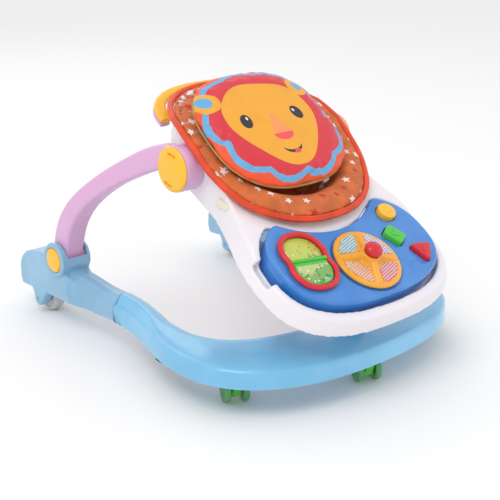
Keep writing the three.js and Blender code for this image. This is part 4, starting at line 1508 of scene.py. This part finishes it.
@dataclass
class Seat(Assembly):
    """The white seat and tray body, the cloth seat, the cushion and the push handle."""

    ring_y: float = -14.0
    tray_y: float = -257.0
    rim: tuple[float, float] = (162.0, 178.0)
    bead: float = 5.5
    cushion_at: tuple[float, float] = (-9.0, -8.0)

    def console_outline(self, grow: float, scoop: float) -> Array:
        """Returns the play console's outline grown by a margin, with its hollow back edge.

        Args:
            grow: the margin.
            scoop: how much shallower the hollow is.
        Returns:
            Rows of x and y.
        """
        points = ring_points(163.4 + grow, 99.6 + grow, 2.57, 720, (0, self.tray_y))
        radius = 161 - scoop
        away = np.hypot(points[:, 0], points[:, 1] + 54)
        inside = away < radius
        scale = np.where(inside, radius / np.maximum(away, 1), 1)
        points = np.stack([points[:, 0] * scale, (points[:, 1] + 54) * scale - 54], 1)
        return eased_corners(resampled(points, 150), 3, 2, True)

    def body(self) -> None:
        """Builds the white body as one soft moulded form with its recess and opening."""
        piece = Bench.copied(self.frame["nodes"]["seat_tray_body"], "seat_body")
        Bench.fused(piece, voxel=0.002, rounds=13)
        self.hand_over(piece, "seat_frame", Plastics.WHITE, "white_plastic", "seat_tray_body")

    def rim_line(self, u: Array) -> tuple[Array, Array]:
        """Returns the rim's centre line and the direction outwards for u from 0 to 1.

        Args:
            u: 0 to 1 round the rim.
        Returns:
            Rows of x, y and z, and rows of x and y of the direction.
        """
        a = u * TURN
        x, y = power_ring(self.rim[0], self.rim[1], 2.3, a)
        y = y + self.ring_y
        out = np.stack([np.cos(a), np.sin(a) * 0.95], 1)
        out /= np.linalg.norm(out, axis=1)[:, None]
        return np.stack([x, y, follow(RIM_HEIGHT, y)], 1), out

    def rims(self) -> None:
        """Builds the bound edge: a piped tube with a groove and a stitched inner fold."""

        def place(u: Array, v: Array) -> Array:
            """Gives the tube's skin.

            Args:
                u: 0 to 1 round the rim.
                v: 0 to 1 round its tube.
            Returns:
                Rows of x, y and z.
            """
            centre, out = self.rim_line(u)
            a = v * TURN
            pinch = 1 - 0.32 * np.exp(-((np.angle(np.exp(1j * (a - 1.0))) / 0.24) ** 2))
            ripple = 1 + 0.012 * np.sin(u * TURN * 61 + 2 * np.sin(u * 31)) * (0.5 - 0.5 * np.cos(a))
            r = self.bead * pinch * ripple
            flat = centre[:, :2] + out * (r * np.cos(a))[:, None]
            return np.column_stack([flat, centre[:, 2] + r * np.sin(a)])

        rim = Bench.wrapped("rim_cloth", 320, 24, place)
        self.cloth_map(rim, 1.0)
        self.stood(Bench.smooth(rim, 80), self.seat)
        finish = Woven("rim_binding", (0.88, 0.062, 0.002), 0.5, 0.45)
        self.hand_over(rim, "seat_frame", finish, "edge_cloth", "seat_rim")

    def cloth_map(self, piece: bpy.types.Object, path: float | Sequence) -> None:
        """Stores where each point lies on its cloth, in millimetres round and across.

        Args:
            piece: the cloth piece, still in the seat's millimetres.
            path: the section of the cloth as (reach, height) points, or 1.0 for a tube.
        """
        co = Bench.points(piece)
        y = co[:, 1] - self.ring_y
        turn = np.arctan2(-co[:, 0], -y)
        if isinstance(path, float):
            across = co[:, 2] + np.hypot(co[:, 0], y)
        else:
            line = np.array(path, float)
            reach = (np.abs(co[:, 0]) ** 2.3 + np.abs(y / 1.1) ** 2.3) ** (1 / 2.3)
            spot = np.stack([reach, co[:, 2] - self.pad_lift(co[:, 1], co[:, 2])], 1)
            run = np.concatenate([[0], np.cumsum(np.linalg.norm(np.diff(line, axis=0), axis=1))])
            best = np.full(len(co), 1e9)
            across = np.zeros(len(co))
            for k in range(len(line) - 1):
                a, d = line[k], line[k + 1] - line[k]
                t = np.clip(((spot - a) @ d) / (d @ d), 0, 1)
                gap = np.linalg.norm(spot - a - t[:, None] * d, axis=1)
                near = gap < best
                best[near] = gap[near]
                across[near] = (run[k] + t * (run[k + 1] - run[k]))[near]
        values = np.stack([turn * 138, across, np.zeros(len(co))], 1)
        attribute = piece.data.attributes.new("cloth", "FLOAT_VECTOR", "POINT")
        attribute.data.foreach_set("vector", values.astype(np.float32).ravel())

    def pad_lift(self, y: Array, z: Array) -> Array:
        """Returns how far the ring lifts the cloth at a place."""
        return (follow(RING_TOP, y) - 1.4) * ease(-60, 4, z - follow(RING_TOP, y) * ease(-60, 4, z))

    def pad(self) -> None:
        """Builds the padded cloth seat: a stuffed collar with gathers, a bucket and leg holes."""
        path = (
            (80, -91), (106, -50), (122, -14), (131, 0), (138, 7), (151, 8), (157.5, 10), (158.5, 13),
            (156, 17), (148, 22), (138, 25), (126, 24.5), (115, 17), (109.5, 4), (99.5, -46),
            (76.5, -83),
        )
        # How far each point follows the rim and the stuffed crown instead of the ring.
        rim_share = (0, 0, 0, 0, 0, 0.2, 1, 1, 0.9, 0.3, 0, 0, 0, 0, 0, 0)
        rim_rise = (0, 0, 0, 0, 0, 0, -4, 0, 4.5, 6, 0, 0, 0, 0, 0, 0)

        def place(u: Array, v: Array) -> Array:
            """Gives the skin of the collar and bucket.

            Args:
                u: 0 to 1 round the seat.
                v: 0 to 1 along its section.
            Returns:
                Rows of x, y and z.
            """
            at, index = v * (len(path) - 1), np.arange(len(path))
            reach = np.interp(at, index, [p[0] for p in path])
            z = np.interp(at, index, [p[1] for p in path])
            a = u * TURN
            x, y = power_ring(1, 1.1, 2.3, a)
            gather = np.sin(a * 23 + 3 * np.sin(a * 2)) + 0.6 * np.sin(a * 41 + 5 * np.cos(a * 3))
            inner = ease(4, 14, z) * ease(146, 112, reach)
            reach = reach + gather * 1.3 * inner
            flat_y = y * reach + self.ring_y
            lift = (follow(RING_TOP, flat_y) - 1.4) * ease(-60, 4, z)
            crown = np.where(z > 9, 0.5 + 0.5 * (1 - ease(-150, -60, flat_y)), 1)
            ring = (z + gather * 0.9 * ease(12, 20, z)) * crown + lift
            rim = follow(RIM_HEIGHT, y * self.rim[1] / 1.1 + self.ring_y)
            rim = rim + np.interp(at, index, rim_rise)
            share = np.interp(at, index, rim_share)
            return np.column_stack([x * reach, flat_y, ring * (1 - share) + rim * share])

        pad = Bench.wrapped("seat_cloth", 200, len(path) - 1, place)
        holes = [
            Bench.turned_on(f"leg{k}", [(0, 0), (27.5, 0), (27.5, 150), (0, 150)], "z", (0, 0, 0), 48)
            for k in (0, 1)
        ]
        for tool, x in zip(holes, (-42, 42)):
            forwards = Matrix.Rotation(math.pi / 2, 4, "X")
            tool.data.transform(Matrix.Translation((x, -30, -48)) @ forwards)
        Bench.cut(pad, *holes)
        self.stood(pad, self.seat)
        Bench.fused(pad, voxel=0.0032, rounds=3)
        self.puffed(pad, pressure=3.0, cap=0.004)
        pad.data.transform(self.seat.inverted())
        self.cloth_map(pad, path)
        self.stood(pad, self.seat)
        Bench.modified(pad, "SUBSURF", levels=1, render_levels=1)
        finish = Woven("star_cloth", (0.72, 0.165, 0.035), 0.6, 0.7, True)
        self.hand_over(pad, "seat_frame", finish, "orange_cloth", "seat_pad")

    def puffed(self, piece: bpy.types.Object, pressure: float, cap: float) -> None:
        """Inflates a cloth piece by simulation.

        Args:
            piece: an even skin, in metres, a little smaller than the stuffed form.
            pressure: the pressure inside it.
            cap: the furthest that a point may move, in metres.
        """
        rest = Bench.points(piece)
        modifier = piece.modifiers.new("Cloth", "CLOTH")
        cloth = modifier.settings
        cloth.quality = 5
        cloth.mass = 0.3
        cloth.tension_stiffness = cloth.compression_stiffness = 12
        cloth.bending_stiffness = 0.4
        cloth.use_pressure = True
        cloth.uniform_pressure_force = pressure
        cloth.effector_weights.gravity = 0
        last = 20
        modifier.point_cache.frame_start, modifier.point_cache.frame_end = 1, last
        for frame in range(1, last + 1):
            bpy.context.scene.frame_set(frame)
        Bench.alone(piece)
        bpy.ops.object.modifier_apply(modifier=modifier.name)
        moved = Bench.points(piece) - rest
        far = np.linalg.norm(moved, axis=1)[:, None]
        Bench.shape(piece, rest + moved * np.minimum(1, cap / np.maximum(far, 1e-9)))
        bpy.context.scene.frame_set(1)

    def cushion(self) -> None:
        """Builds the stuffed cushion with its printed face, piping and ties."""
        # The form starts a little small, because it swells.
        half_x, half_y = (half - 2 for half in CUSHION_HALF)

        def place(u: Array, v: Array) -> Array:
            """Gives the cushion's crowned skin.

            Args:
                u: 0 to 1 round the cushion.
                v: 0 to 1 from its back to its face.
            Returns:
                Rows of x, y and z.
            """
            a, t = u * TURN, v * 2 - 1
            share = (1 - np.abs(t) ** 2.7) ** 0.42
            pull = 1 - 0.012 * np.abs(np.sin(a * 9)) * np.exp(-((t / 0.3) ** 2))
            x, y = power_ring(half_x * share * pull, half_y * share * pull, 2.5, a)
            z = 62 + 17.5 * t + y * 0.1
            return np.column_stack([x + self.cushion_at[0], y + self.cushion_at[1], z])

        piece = Bench.wrapped("cushion_cloth", 128, 32, place)
        self.stood(piece, self.seat)
        Bench.fused(piece, voxel=0.0036, rounds=1)
        self.puffed(piece, pressure=4.0, cap=0.006)
        co = Bench.points(piece)
        local = np.array(self.seat.inverted())
        flat = co @ local[:3, :3].T + local[:3, 3]
        across, along = flat[:, 0] - self.cushion_at[0], flat[:, 1] - self.cushion_at[1]
        reach = np.hypot(across / CUSHION_HALF[0], along / CUSHION_HALF[1])
        turn = np.arctan2(along, across)
        fold = np.sin(turn * 26 + 2 * np.sin(turn * 5)) * ease(0.7, 0.97, reach)
        up = np.array(self.seat.to_3x3().normalized())[:, 2]
        Bench.shape(piece, co + np.outer(fold * 0.0007, up))
        Bench.modified(piece, "SUBSURF", levels=1, render_levels=1)
        origin = self.seat @ Vector((self.cushion_at[0] - 5, self.cushion_at[1] - 3, 0))
        finish = FacePrint("face_print", tuple(origin), self.tilt)
        self.hand_over(piece, "cushion", finish, "face_cloth", "head_cushion")
        self.piping()

    def piping(self) -> None:
        """Builds the gold piping round the cushion's lower edge and its three tabs."""
        half_x, half_y = (half - 7.5 for half in CUSHION_HALF)
        thick = 1.7

        def place(u: Array, v: Array) -> Array:
            """Gives the piping's skin.

            Args:
                u: 0 to 1 round the cushion.
                v: 0 to 1 round the piping.
            Returns:
                Rows of x, y and z.
            """
            a, b = u * TURN, v * TURN
            x, y = power_ring(half_x + thick * np.cos(b), half_y + thick * np.cos(b), 2.5, a)
            x, z = x + self.cushion_at[0], 57.5 + y * 0.1 + thick * np.sin(b)
            return np.column_stack([x, y + self.cushion_at[1], z])

        cord = Bench.wrapped("cushion_piping", 240, 12, place)
        self.cloth_map(cord, 1.0)
        self.stood(Bench.smooth(cord, 80), self.seat)
        self.hand_over(cord, "cushion", Woven("piping_cloth", (0.5, 0.33, 0.1)), "face_cloth")
        for k, turn in enumerate((3.85, 5.0, 5.7)):
            x, y = power_ring(127, 117, 2.2, np.array([turn]))
            shape = turned(ring_points(7, 4, 6, 24), math.degrees(turn) + 90, (x[0], y[0] - 8))
            tab = Bench.drawn(f"cushion_tab_{k + 1}", shape, 45.5 + y[0] * 0.1, 50 + y[0] * 0.1, 0.6)
            self.cloth_map(tab, 1.0)
            self.stood(Bench.smooth(tab), self.seat)
            self.hand_over(tab, "cushion", Woven("tab_cloth", (0.8, 0.76, 0.72)), "face_cloth")

    def handles(self) -> None:
        """Builds the push handle: an amber loop with a mauve underside."""

        def loop(low: float, high: float, inset: float) -> Place:
            """Describes one layer of the loop.

            Args:
                low: its underside.
                high: its top.
                inset: how much slimmer it is on each side.
            Returns:
                The form, for Bench.wrapped.
            """
            middle, half = (low + high) / 2, (high - low) / 2

            def place(u: Array, v: Array) -> Array:
                """Gives the layer's skin.

                Args:
                    u: 0 to 1 along the loop.
                    v: 0 to 1 round its section.
                Returns:
                    Rows of x, y and z.
                """
                a = u * math.pi
                ox, oy = power_ring(132 - inset, 76 - inset, 2.6, a)
                ix, iy = power_ring(110 + inset, 62 + inset, 2.6, a)
                c, s = power_ring(1, 1, 3.2, v * TURN)
                share = (c[:, None] + 1) / 2
                inner, outer = np.stack([ix, iy + 112], 1), np.stack([ox, oy + 112], 1)
                flat = inner * (1 - share) + outer * share
                return np.column_stack([flat, middle + half * s])

            return place

        top = Bench.wrapped("handle_top", 120, 28, loop(-11, 0, 0))
        self.stood(Bench.smooth(top, 50), self.seat)
        self.hand_over(top, "seat_frame", Plastics.AMBER, "amber_plastic", "push_handle")
        under = Bench.wrapped("handle_under", 120, 28, loop(-18.9, -11.5, 1))
        self.stood(Bench.smooth(under, 50), self.seat)
        self.hand_over(under, "seat_frame", Plastics.MAUVE, "mauve_plastic", "push_handle_under")

    def clips(self) -> None:
        """Builds the clear clips that hold the rim to the body."""
        for i, angle in enumerate((-2.3, -1.8, -1.3, -0.85)):
            x, y = power_ring(158, 173, 2.3, np.array([angle]))
            at = (float(x[0]), float(y[0]) + self.ring_y)
            low = float(follow(RING_TOP, at[1])) + 3.2
            high = float(follow(RIM_HEIGHT, at[1])) - self.bead - 1
            turn = math.degrees(math.atan2(math.sin(angle) * 0.92, math.cos(angle)))
            clip = Bench.drawn(
                f"clip_{i + 1}", turned(ring_points(3, 12, 7, 40), turn, at), low, high, 0.8
            )
            self.stood(Bench.smooth(clip), self.seat)
            self.hand_over(clip, "seat_frame", Plastics.CLIP, "clip_plastic", f"seat_clip_{i + 1}")
        flank = eased_corners([(-84, -6), (-86, 10), (-114, 19), (-111, 4)], 3, 4, True)
        near = Bench.smooth(Bench.drawn("flank_clip_right", flank, -154.4, -147.6, 0.8, 3, True))
        self.stood(near, self.seat)
        for clip in (near, Bench.mirrored(near, "flank_clip_left")):
            self.hand_over(clip, "seat_frame", Plastics.CLIP, "clip_plastic")

    def build(self) -> None:
        """Builds every piece of the seat."""
        self.body()
        self.rims()
        self.pad()
        self.cushion()
        self.handles()
        self.clips()


@dataclass
class Console(Assembly):
    """The play console: blue top, picture book, steering dial and three keys."""

    top: float = 27.0
    dial: tuple[float, float] = (0.0, -288.0)
    book: tuple[float, float] = (-106.5, -259.0)
    book_turn: float = -8.0

    def book_outline(self, grow: float, count: int = 96) -> Array:
        """Returns the book's outline with its pinch at the hinge, grown by a margin.

        Args:
            grow: the margin.
            count: how many points to give.
        Returns:
            Rows of x and y.
        """
        points = ring_points(45, 58, 2.4, count)
        pinch = 1 - 0.10 * np.exp(-((points[:, 1] / 13) ** 2))
        points = np.stack([points[:, 0] * pinch, points[:, 1]], 1)
        return turned(grown(points, grow), self.book_turn, self.book)

    def keys(self) -> dict[str, Array]:
        """Returns the outlines of the three keys.

        Returns:
            Rows of x and y by the key's name.
        """
        corners = []
        for k in range(3):
            middle = k / 3 * TURN - math.pi / 2
            corners.append((26 * math.cos(middle), 26 * math.sin(middle)))
        triangle = turned(eased_corners(corners, 12, 8, True), -12, (116, -304))
        return {
            "round": ring_points(16.5, 16.5, 2, 72, (110, -213)),
            "square": turned(ring_points(13.5, 17.5, 7, 72), 30, (86, -261)),
            "triangle": triangle,
        }

    def shell(self, seat: Seat) -> None:
        """Builds the blue top with its dial groove, key wells and speaker burst.

        Args:
            seat: the seat, which knows the console's outline.
        """
        rows = ((0.1, -4.8), (0.1, 22.2), (0.6, 24.4), (1.7, 26.1), (3.2, self.top))
        rings = []
        for shrink, z in rows:
            flat = seat.console_outline(-shrink, -shrink)
            rings.append(np.column_stack([flat, np.full(len(flat), z)]))
        stack = np.array([np.vstack([ring, ring[:1]]) for ring in rings])

        def place(u: Array, v: Array) -> Array:
            """Gives the wall and top, ring by ring.

            Args:
                u: 0 to 1 round the outline.
                v: 0 to 1 up the wall.
            Returns:
                Rows of x, y and z.
            """
            column = np.rint(u * (stack.shape[1] - 1)).astype(int)
            row = np.rint(v * (len(rows) - 1)).astype(int)
            return stack[row, column]

        piece = Bench.wrapped("console_shell", stack.shape[1] - 1, len(rows) - 1, place)
        inside = Bench.drawn("inside", seat.console_outline(-4, -4), -10, self.top - 3.5)
        ring = [
            (59.9, self.top - 1.6), (59.9, self.top + 2), (63.4, self.top + 2),
            (61.8, self.top - 1.6), (59.9, self.top - 1.6),
        ]
        dx, dy = self.dial
        tools = [inside, Bench.turned_on("groove", ring, "z", (dx, dy, 0), 120)]
        well = [(0, self.top - 1.5), (60.3, self.top - 1.5), (60.3, 60), (0, 60)]
        tools.append(Bench.turned_on("dial_well", well, "z", (dx, dy, 0), 120))
        bore = [(0, 0), (8.5, 0), (8.5, 60), (0, 60)]
        tools.append(Bench.turned_on("bore", bore, "z", (dx, dy, 0), 40))
        tools.append(Bench.drawn("page_well", self.book_outline(-8), self.top - 1.5, 60))
        for name, outline in self.keys().items():
            tools.append(Bench.drawn(f"{name}_well", grown(outline, 1.0), 0, 60))
        Bench.cut(piece, *tools)
        burst = []
        rays = 14
        for k in range(rays):
            a = k / rays * TURN
            ray = turned(ring_points(5.2, 0.9, 2.6, 16), math.degrees(a))
            ray += np.array([84 + 8.6 * math.cos(a), -327 + 8.6 * math.sin(a)])
            burst.append(Bench.drawn(f"ray{k}", ray, self.top - 2, self.top + 0.9, 0.4, 2))
        Bench.joined(piece, *burst)
        Bench.fused(piece, voxel=1.25, rounds=1)
        self.stood(piece, self.seat)
        self.hand_over(piece, "console", Plastics.ROYAL, "royal_plastic", "console_top")

    def picture_book(self) -> None:
        """Builds the red frame, the page and the turning flap with its green bar."""
        count = 160

        def place(u: Array, v: Array) -> Array:
            """Gives the frame's skin.

            Args:
                u: 0 to 1 round the book.
                v: 0 to 1 round the frame's section.
            Returns:
                Rows of x, y and z.
            """
            ring = self.book_outline(-4.6, count)
            line = np.vstack([ring, ring[:1]])
            ahead = np.roll(ring, -1, 0) - np.roll(ring, 1, 0)
            out = np.stack([ahead[:, 1], -ahead[:, 0]], 1)
            out /= np.linalg.norm(out, axis=1)[:, None]
            out = np.vstack([out, out[:1]])
            at, index = u * count, np.arange(count + 1)
            spot = np.stack([np.interp(at, index, line[:, k]) for k in (0, 1)], 1)
            away = np.stack([np.interp(at, index, out[:, k]) for k in (0, 1)], 1)
            c, s = power_ring(4.5, 4.55, 2.7, v * TURN)
            return np.column_stack([spot + away * c[:, None], 31.9 + s])

        frame = Bench.wrapped("book_ring", count, 28, place)
        self.stood(Bench.smooth(frame, 60), self.seat)
        self.hand_over(frame, "console", Plastics.RED, "red_plastic", "book_frame")
        origin = tuple(self.seat @ Vector((*self.book, 0)))
        page = Bench.drawn("page_card", self.book_outline(-9.2), 26, 29.4, 0.3, 2)
        self.stood(Bench.smooth(page), self.seat)
        meadow = PictureCard("meadow_picture", origin, self.tilt)
        self.hand_over(page, "console", meadow, "page_card", "book_page")
        outline = turned(self.book_outline(-10.8, count) - np.array(self.book), -self.book_turn)
        front = by_angle(outline[outline[:, 1] < -4.0])
        flap = Bench.drawn("flap_leaf", turned(front, self.book_turn, self.book), 31.3, 32.9, 0.5, 2)
        bar = [(0, -33), (2.2, -33), (3, -32), (3, 32), (2.2, 33), (0, 33)]
        rod = Bench.turned_on("rod", bar, "x", (0, 0, 0), 32)
        ridges = [
            Bench.turned_on(
                f"band{k}", [(0, x - 1), (3.3, x - 1), (3.3, x + 1), (0, x + 1)], "x", (0, 0, 0), 32
            )
            for k, x in enumerate((-24, -8, 8, 24))
        ]
        Bench.joined(rod, *ridges)
        turn = Matrix.Rotation(math.radians(self.book_turn), 4, "Z")
        rod.data.transform(Matrix.Translation((*self.book, 34)) @ turn)
        leaf = Bench.drawn(
            "leaf", turned(ring_points(31, 4.6, 6, 32, (0, -4.5)), self.book_turn, self.book), 31.4, 33.2
        )
        Bench.joined(flap, rod, leaf)
        self.stood(Bench.smooth(flap), self.seat)
        self.hand_over(flap, "page", Plastics.GREEN, "green_plastic", "page_flap")
        inner = turned(by_angle(grown(front, -2.6)), self.book_turn, self.book)
        picture = Bench.drawn("flap_picture", inner, 32.5, 33.1, 0.15, 1)
        self.stood(Bench.smooth(picture), self.seat)
        lake = PictureCard(
            "lake_picture", tuple(self.seat @ Vector((self.book[0], self.book[1] - 22, 0))),
            self.tilt, (0.5, 0.6, 0.22), (0.2, 0.42, 0.12), (0.75, 0.08, 0.05),
        )
        self.hand_over(picture, "page", lake, "page_card")

    def steering(self) -> None:
        """Builds the dial with four rounded spokes, its labels and the red horn button."""
        dx, dy = self.dial
        line = [(0, 26.3), (57.4, 26.3), (59.3, 28), (59.1, 31), (55.6, 33.1), (50, 33.0), (22, 34),
                (18.5, 38), (17, 44.6), (15.4, 46.9), (0, 46.9)]
        disc = Bench.turned_on("dial_disc", eased_corners(line, 1.4, 3), "z", (0, 0, 0), 120)

        def place(u: Array, v: Array) -> Array:
            """Gives one spoke's skin, along x.

            Args:
                u: 0 to 1 round the spoke.
                v: 0 to 1 outwards along it.
            Returns:
                Rows of x, y and z.
            """
            reach = 6 + 48.5 * v
            high = follow(((6, 46), (20, 43.4), (34, 39.2), (48, 37), (54.5, 35)), reach)
            half = follow(((6, 9), (20, 7.6), (34, 7.0), (48, 6.6), (54.5, 5)), reach)
            c, s = power_ring(1, 1, 2.3, u * TURN)
            return np.column_stack([reach, c * half, 31 + (high - 31) * s])

        for k in range(4):
            spoke = Bench.wrapped(f"spoke{k}", 32, 24, place)
            spoke.data.transform(Matrix.Rotation(math.radians(90 * k - 18), 4, "Z"))
            Bench.joined(disc, spoke)
        cup = Bench.turned_on("cup", [(0, 40.2), (13, 40.2), (13, 60), (0, 60)], "z", (0, 0, 0), 72)
        bore = Bench.turned_on("bore", [(0, 20), (5.3, 20), (5.3, 60), (0, 60)], "z", (0, 0, 0), 40)
        Bench.fused(disc, voxel=0.9, rounds=2)
        Bench.cut(disc, cup, bore)
        disc.data.transform(Matrix.Translation((dx, dy, 0)))
        self.stood(Bench.smooth(disc, 40), self.seat)
        self.hand_over(disc, "dial", Plastics.DIAL, "amber_plastic", "steering_dial")
        origin = tuple(self.seat @ Vector((dx, dy, 0)))
        tones = ((0.12, 0.34, 0.42), (0.62, 0.2, 0.06), (0.6, 0.05, 0.12), (0.36, 0.3, 0.52))
        for k, tone in enumerate(tones):
            label = self.label(72 + 90 * k)
            label.data.transform(Matrix.Translation((dx, dy, 0)))
            piece = self.stood(Bench.smooth(label), self.seat)
            piece.name = piece.data.name = f"dial_label_{k + 1}"
            finish = DottedLabel(f"dial_label_{k + 1}_print", origin, self.tilt, tone)
            self.hand_over(piece, "dial", finish, "amber_plastic")
        dome = [(0, 44.2), (12.3, 44.2), (12.3, 50), (14.4, 50.2), (15.1, 52.6), (14.2, 56.4),
                (11, 59.9), (7.6, 61.2), (6.8, 60.8), (5.6, 61.9), (3.4, 62.9), (0, 63.2)]
        horn = Bench.turned_on("horn_dome", eased_corners(dome, 0.9, 3), "z", (dx, dy, 0), 72)
        self.stood(Bench.smooth(horn), self.seat)
        self.hand_over(horn, "horn", Plastics.RED, "red_plastic", "horn_button")

    def label(self, start: float) -> bpy.types.Object:
        """Builds one scalloped label between two spokes, from an angle in degrees.

        Args:
            start: the angle of the spoke before it.
        Returns:
            The label, round the origin.
        """
        angle = np.radians(np.linspace(start + 11, start + 79, 40))
        share = np.linspace(0, 1, 40)
        outer = 48.5 + 2.6 * np.abs(np.sin(share * math.pi * 3))
        rim = np.stack([outer * np.cos(angle), outer * np.sin(angle)], 1)
        inner_angle = np.radians(np.linspace(start + 66, start + 24, 12))
        inner = np.stack([25 * np.cos(inner_angle), 25 * np.sin(inner_angle)], 1)
        outline = np.vstack([rim, inner])
        return Bench.drawn("label", eased_corners(outline, 1.2, 3, True), 33.0, 34.35, 0.15, 1)

    def keys_and_marks(self) -> None:
        """Builds the three keys with a raised mark on each."""
        looks = {
            "round": (Plastics.AMBER, "amber_plastic"),
            "square": (Plastics.GREEN, "green_plastic"),
            "triangle": (Plastics.RED, "red_plastic"),
        }
        for name, outline in self.keys().items():
            finish, slot = looks[name]
            key = Bench.drawn(f"{name}_key_cap", outline, 14.2, 36, 3.0, 5)
            flange = Bench.drawn("flange", grown(outline, 1.5), 14.1, 16.9)
            mark = Bench.drawn("mark", self.mark(name, outline.mean(0)), 35, 37.0, 0.7, 3)
            Bench.joined(key, flange, mark)
            self.stood(Bench.smooth(key), self.seat)
            self.hand_over(key, f"{name}_key", finish, slot, f"{name}_button")

    def mark(self, name: str, at: Array) -> Array:
        """Returns the outline of the raised mark on a key: a bar, a heart or a wedge.

        Args:
            name: the key's name.
            at: the key's middle.
        Returns:
            Rows of x and y.
        """
        if name == "square":
            a = np.linspace(0, TURN, 60, endpoint=False)
            x = 16 * np.sin(a) ** 3
            y = 13 * np.cos(a) - 5 * np.cos(2 * a) - 2 * np.cos(3 * a) - np.cos(4 * a)
            heart = np.stack([x, y], 1)[::-1] * 0.5
            return turned(heart, 30, tuple(at))
        if name == "round":
            return turned(ring_points(8.5, 4.8, 3, 48), 10, tuple(at))
        return turned(ring_points(8, 3.4, 3, 48), 60, tuple(at))

    def build(self, seat: Seat) -> None:
        """Builds every piece of the console.

        Args:
            seat: the seat, which knows the console's outline.
        """
        self.shell(seat)
        self.picture_book()
        self.steering()
        self.keys_and_marks()
        self.keep(Plastics.ROYAL, "console_back", "battery_door")
        self.keep(Plastics.BOARD, "circuit_board")
        self.keep(Plastics.WHITE, "dial_spindle")
        self.keep(Rubber(), "speaker")
        self.keep(Metal(), *(f"{k}_button_spring" for k in ("round", "square", "triangle")))


@dataclass
class Studio:
    """The pale floor, the soft lights and the camera."""

    eye: tuple[float, float, float] = (-1.1816, -1.38, 0.8044)
    target: tuple[float, float, float] = (-0.063, -0.084, 0.1846)
    lens: float = 77.52

    def floor(self) -> None:
        """Lays a wide pale floor."""
        bpy.ops.object.select_all(action="DESELECT")
        bpy.ops.mesh.primitive_plane_add(size=30)
        floor = Bench.named("studio_floor")
        r = Recipe("studio_floor")
        r.set(Base_Color=(0.93, 0.93, 0.93), Roughness=0.9)
        floor.data.materials.append(r.material)

    def lights(self) -> None:
        """Hangs three large soft lights under a pale sky."""
        world = bpy.data.worlds.new("studio")
        world.use_nodes = True
        world.node_tree.nodes["Background"].inputs["Color"].default_value = (1.0, 1.0, 1.0, 1)
        world.node_tree.nodes["Background"].inputs["Strength"].default_value = 0.9
        bpy.context.scene.world = world
        for name, spot, size, power in (
            ("key", (-1.6, -0.6, 2.6), 1.4, 19),
            ("fill", (2.4, -1.6, 1.6), 2.2, 6),
            ("back", (0.6, 2.4, 2.2), 1.8, 9),
        ):
            light = bpy.data.lights.new(name, "AREA")
            light.size, light.energy = size, power
            lamp = bpy.data.objects.new(name, light)
            bpy.context.scene.collection.objects.link(lamp)
            lamp.location = spot
            aim = Vector((0, 0, 0.2)) - Vector(spot)
            lamp.rotation_euler = aim.to_track_quat("-Z", "Y").to_euler()

    def camera(self) -> None:
        """Stands the camera at its place."""
        data = bpy.data.cameras.new("camera")
        data.lens, data.sensor_width = self.lens, 36
        camera = bpy.data.objects.new("camera", data)
        bpy.context.scene.collection.objects.link(camera)
        camera.location = self.eye
        aim = Vector(self.target) - Vector(self.eye)
        camera.rotation_euler = aim.to_track_quat("-Z", "Y").to_euler()
        bpy.context.scene.camera = camera

    def build(self) -> None:
        """Builds the studio."""
        self.floor()
        self.lights()
        self.camera()
        bpy.context.scene.view_settings.view_transform = "Standard"


def main() -> None:
    """Builds the walker's looks and the studio round them."""
    logging.basicConfig(level=logging.INFO, format="%(name)s %(relativeCreated)d %(message)s")
    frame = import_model()
    Base(frame).build()
    Arms(frame).build()
    seat = Seat(frame)
    seat.build()
    Console(frame).build(seat)
    Studio().build()


if __name__ == "__main__":
    main()
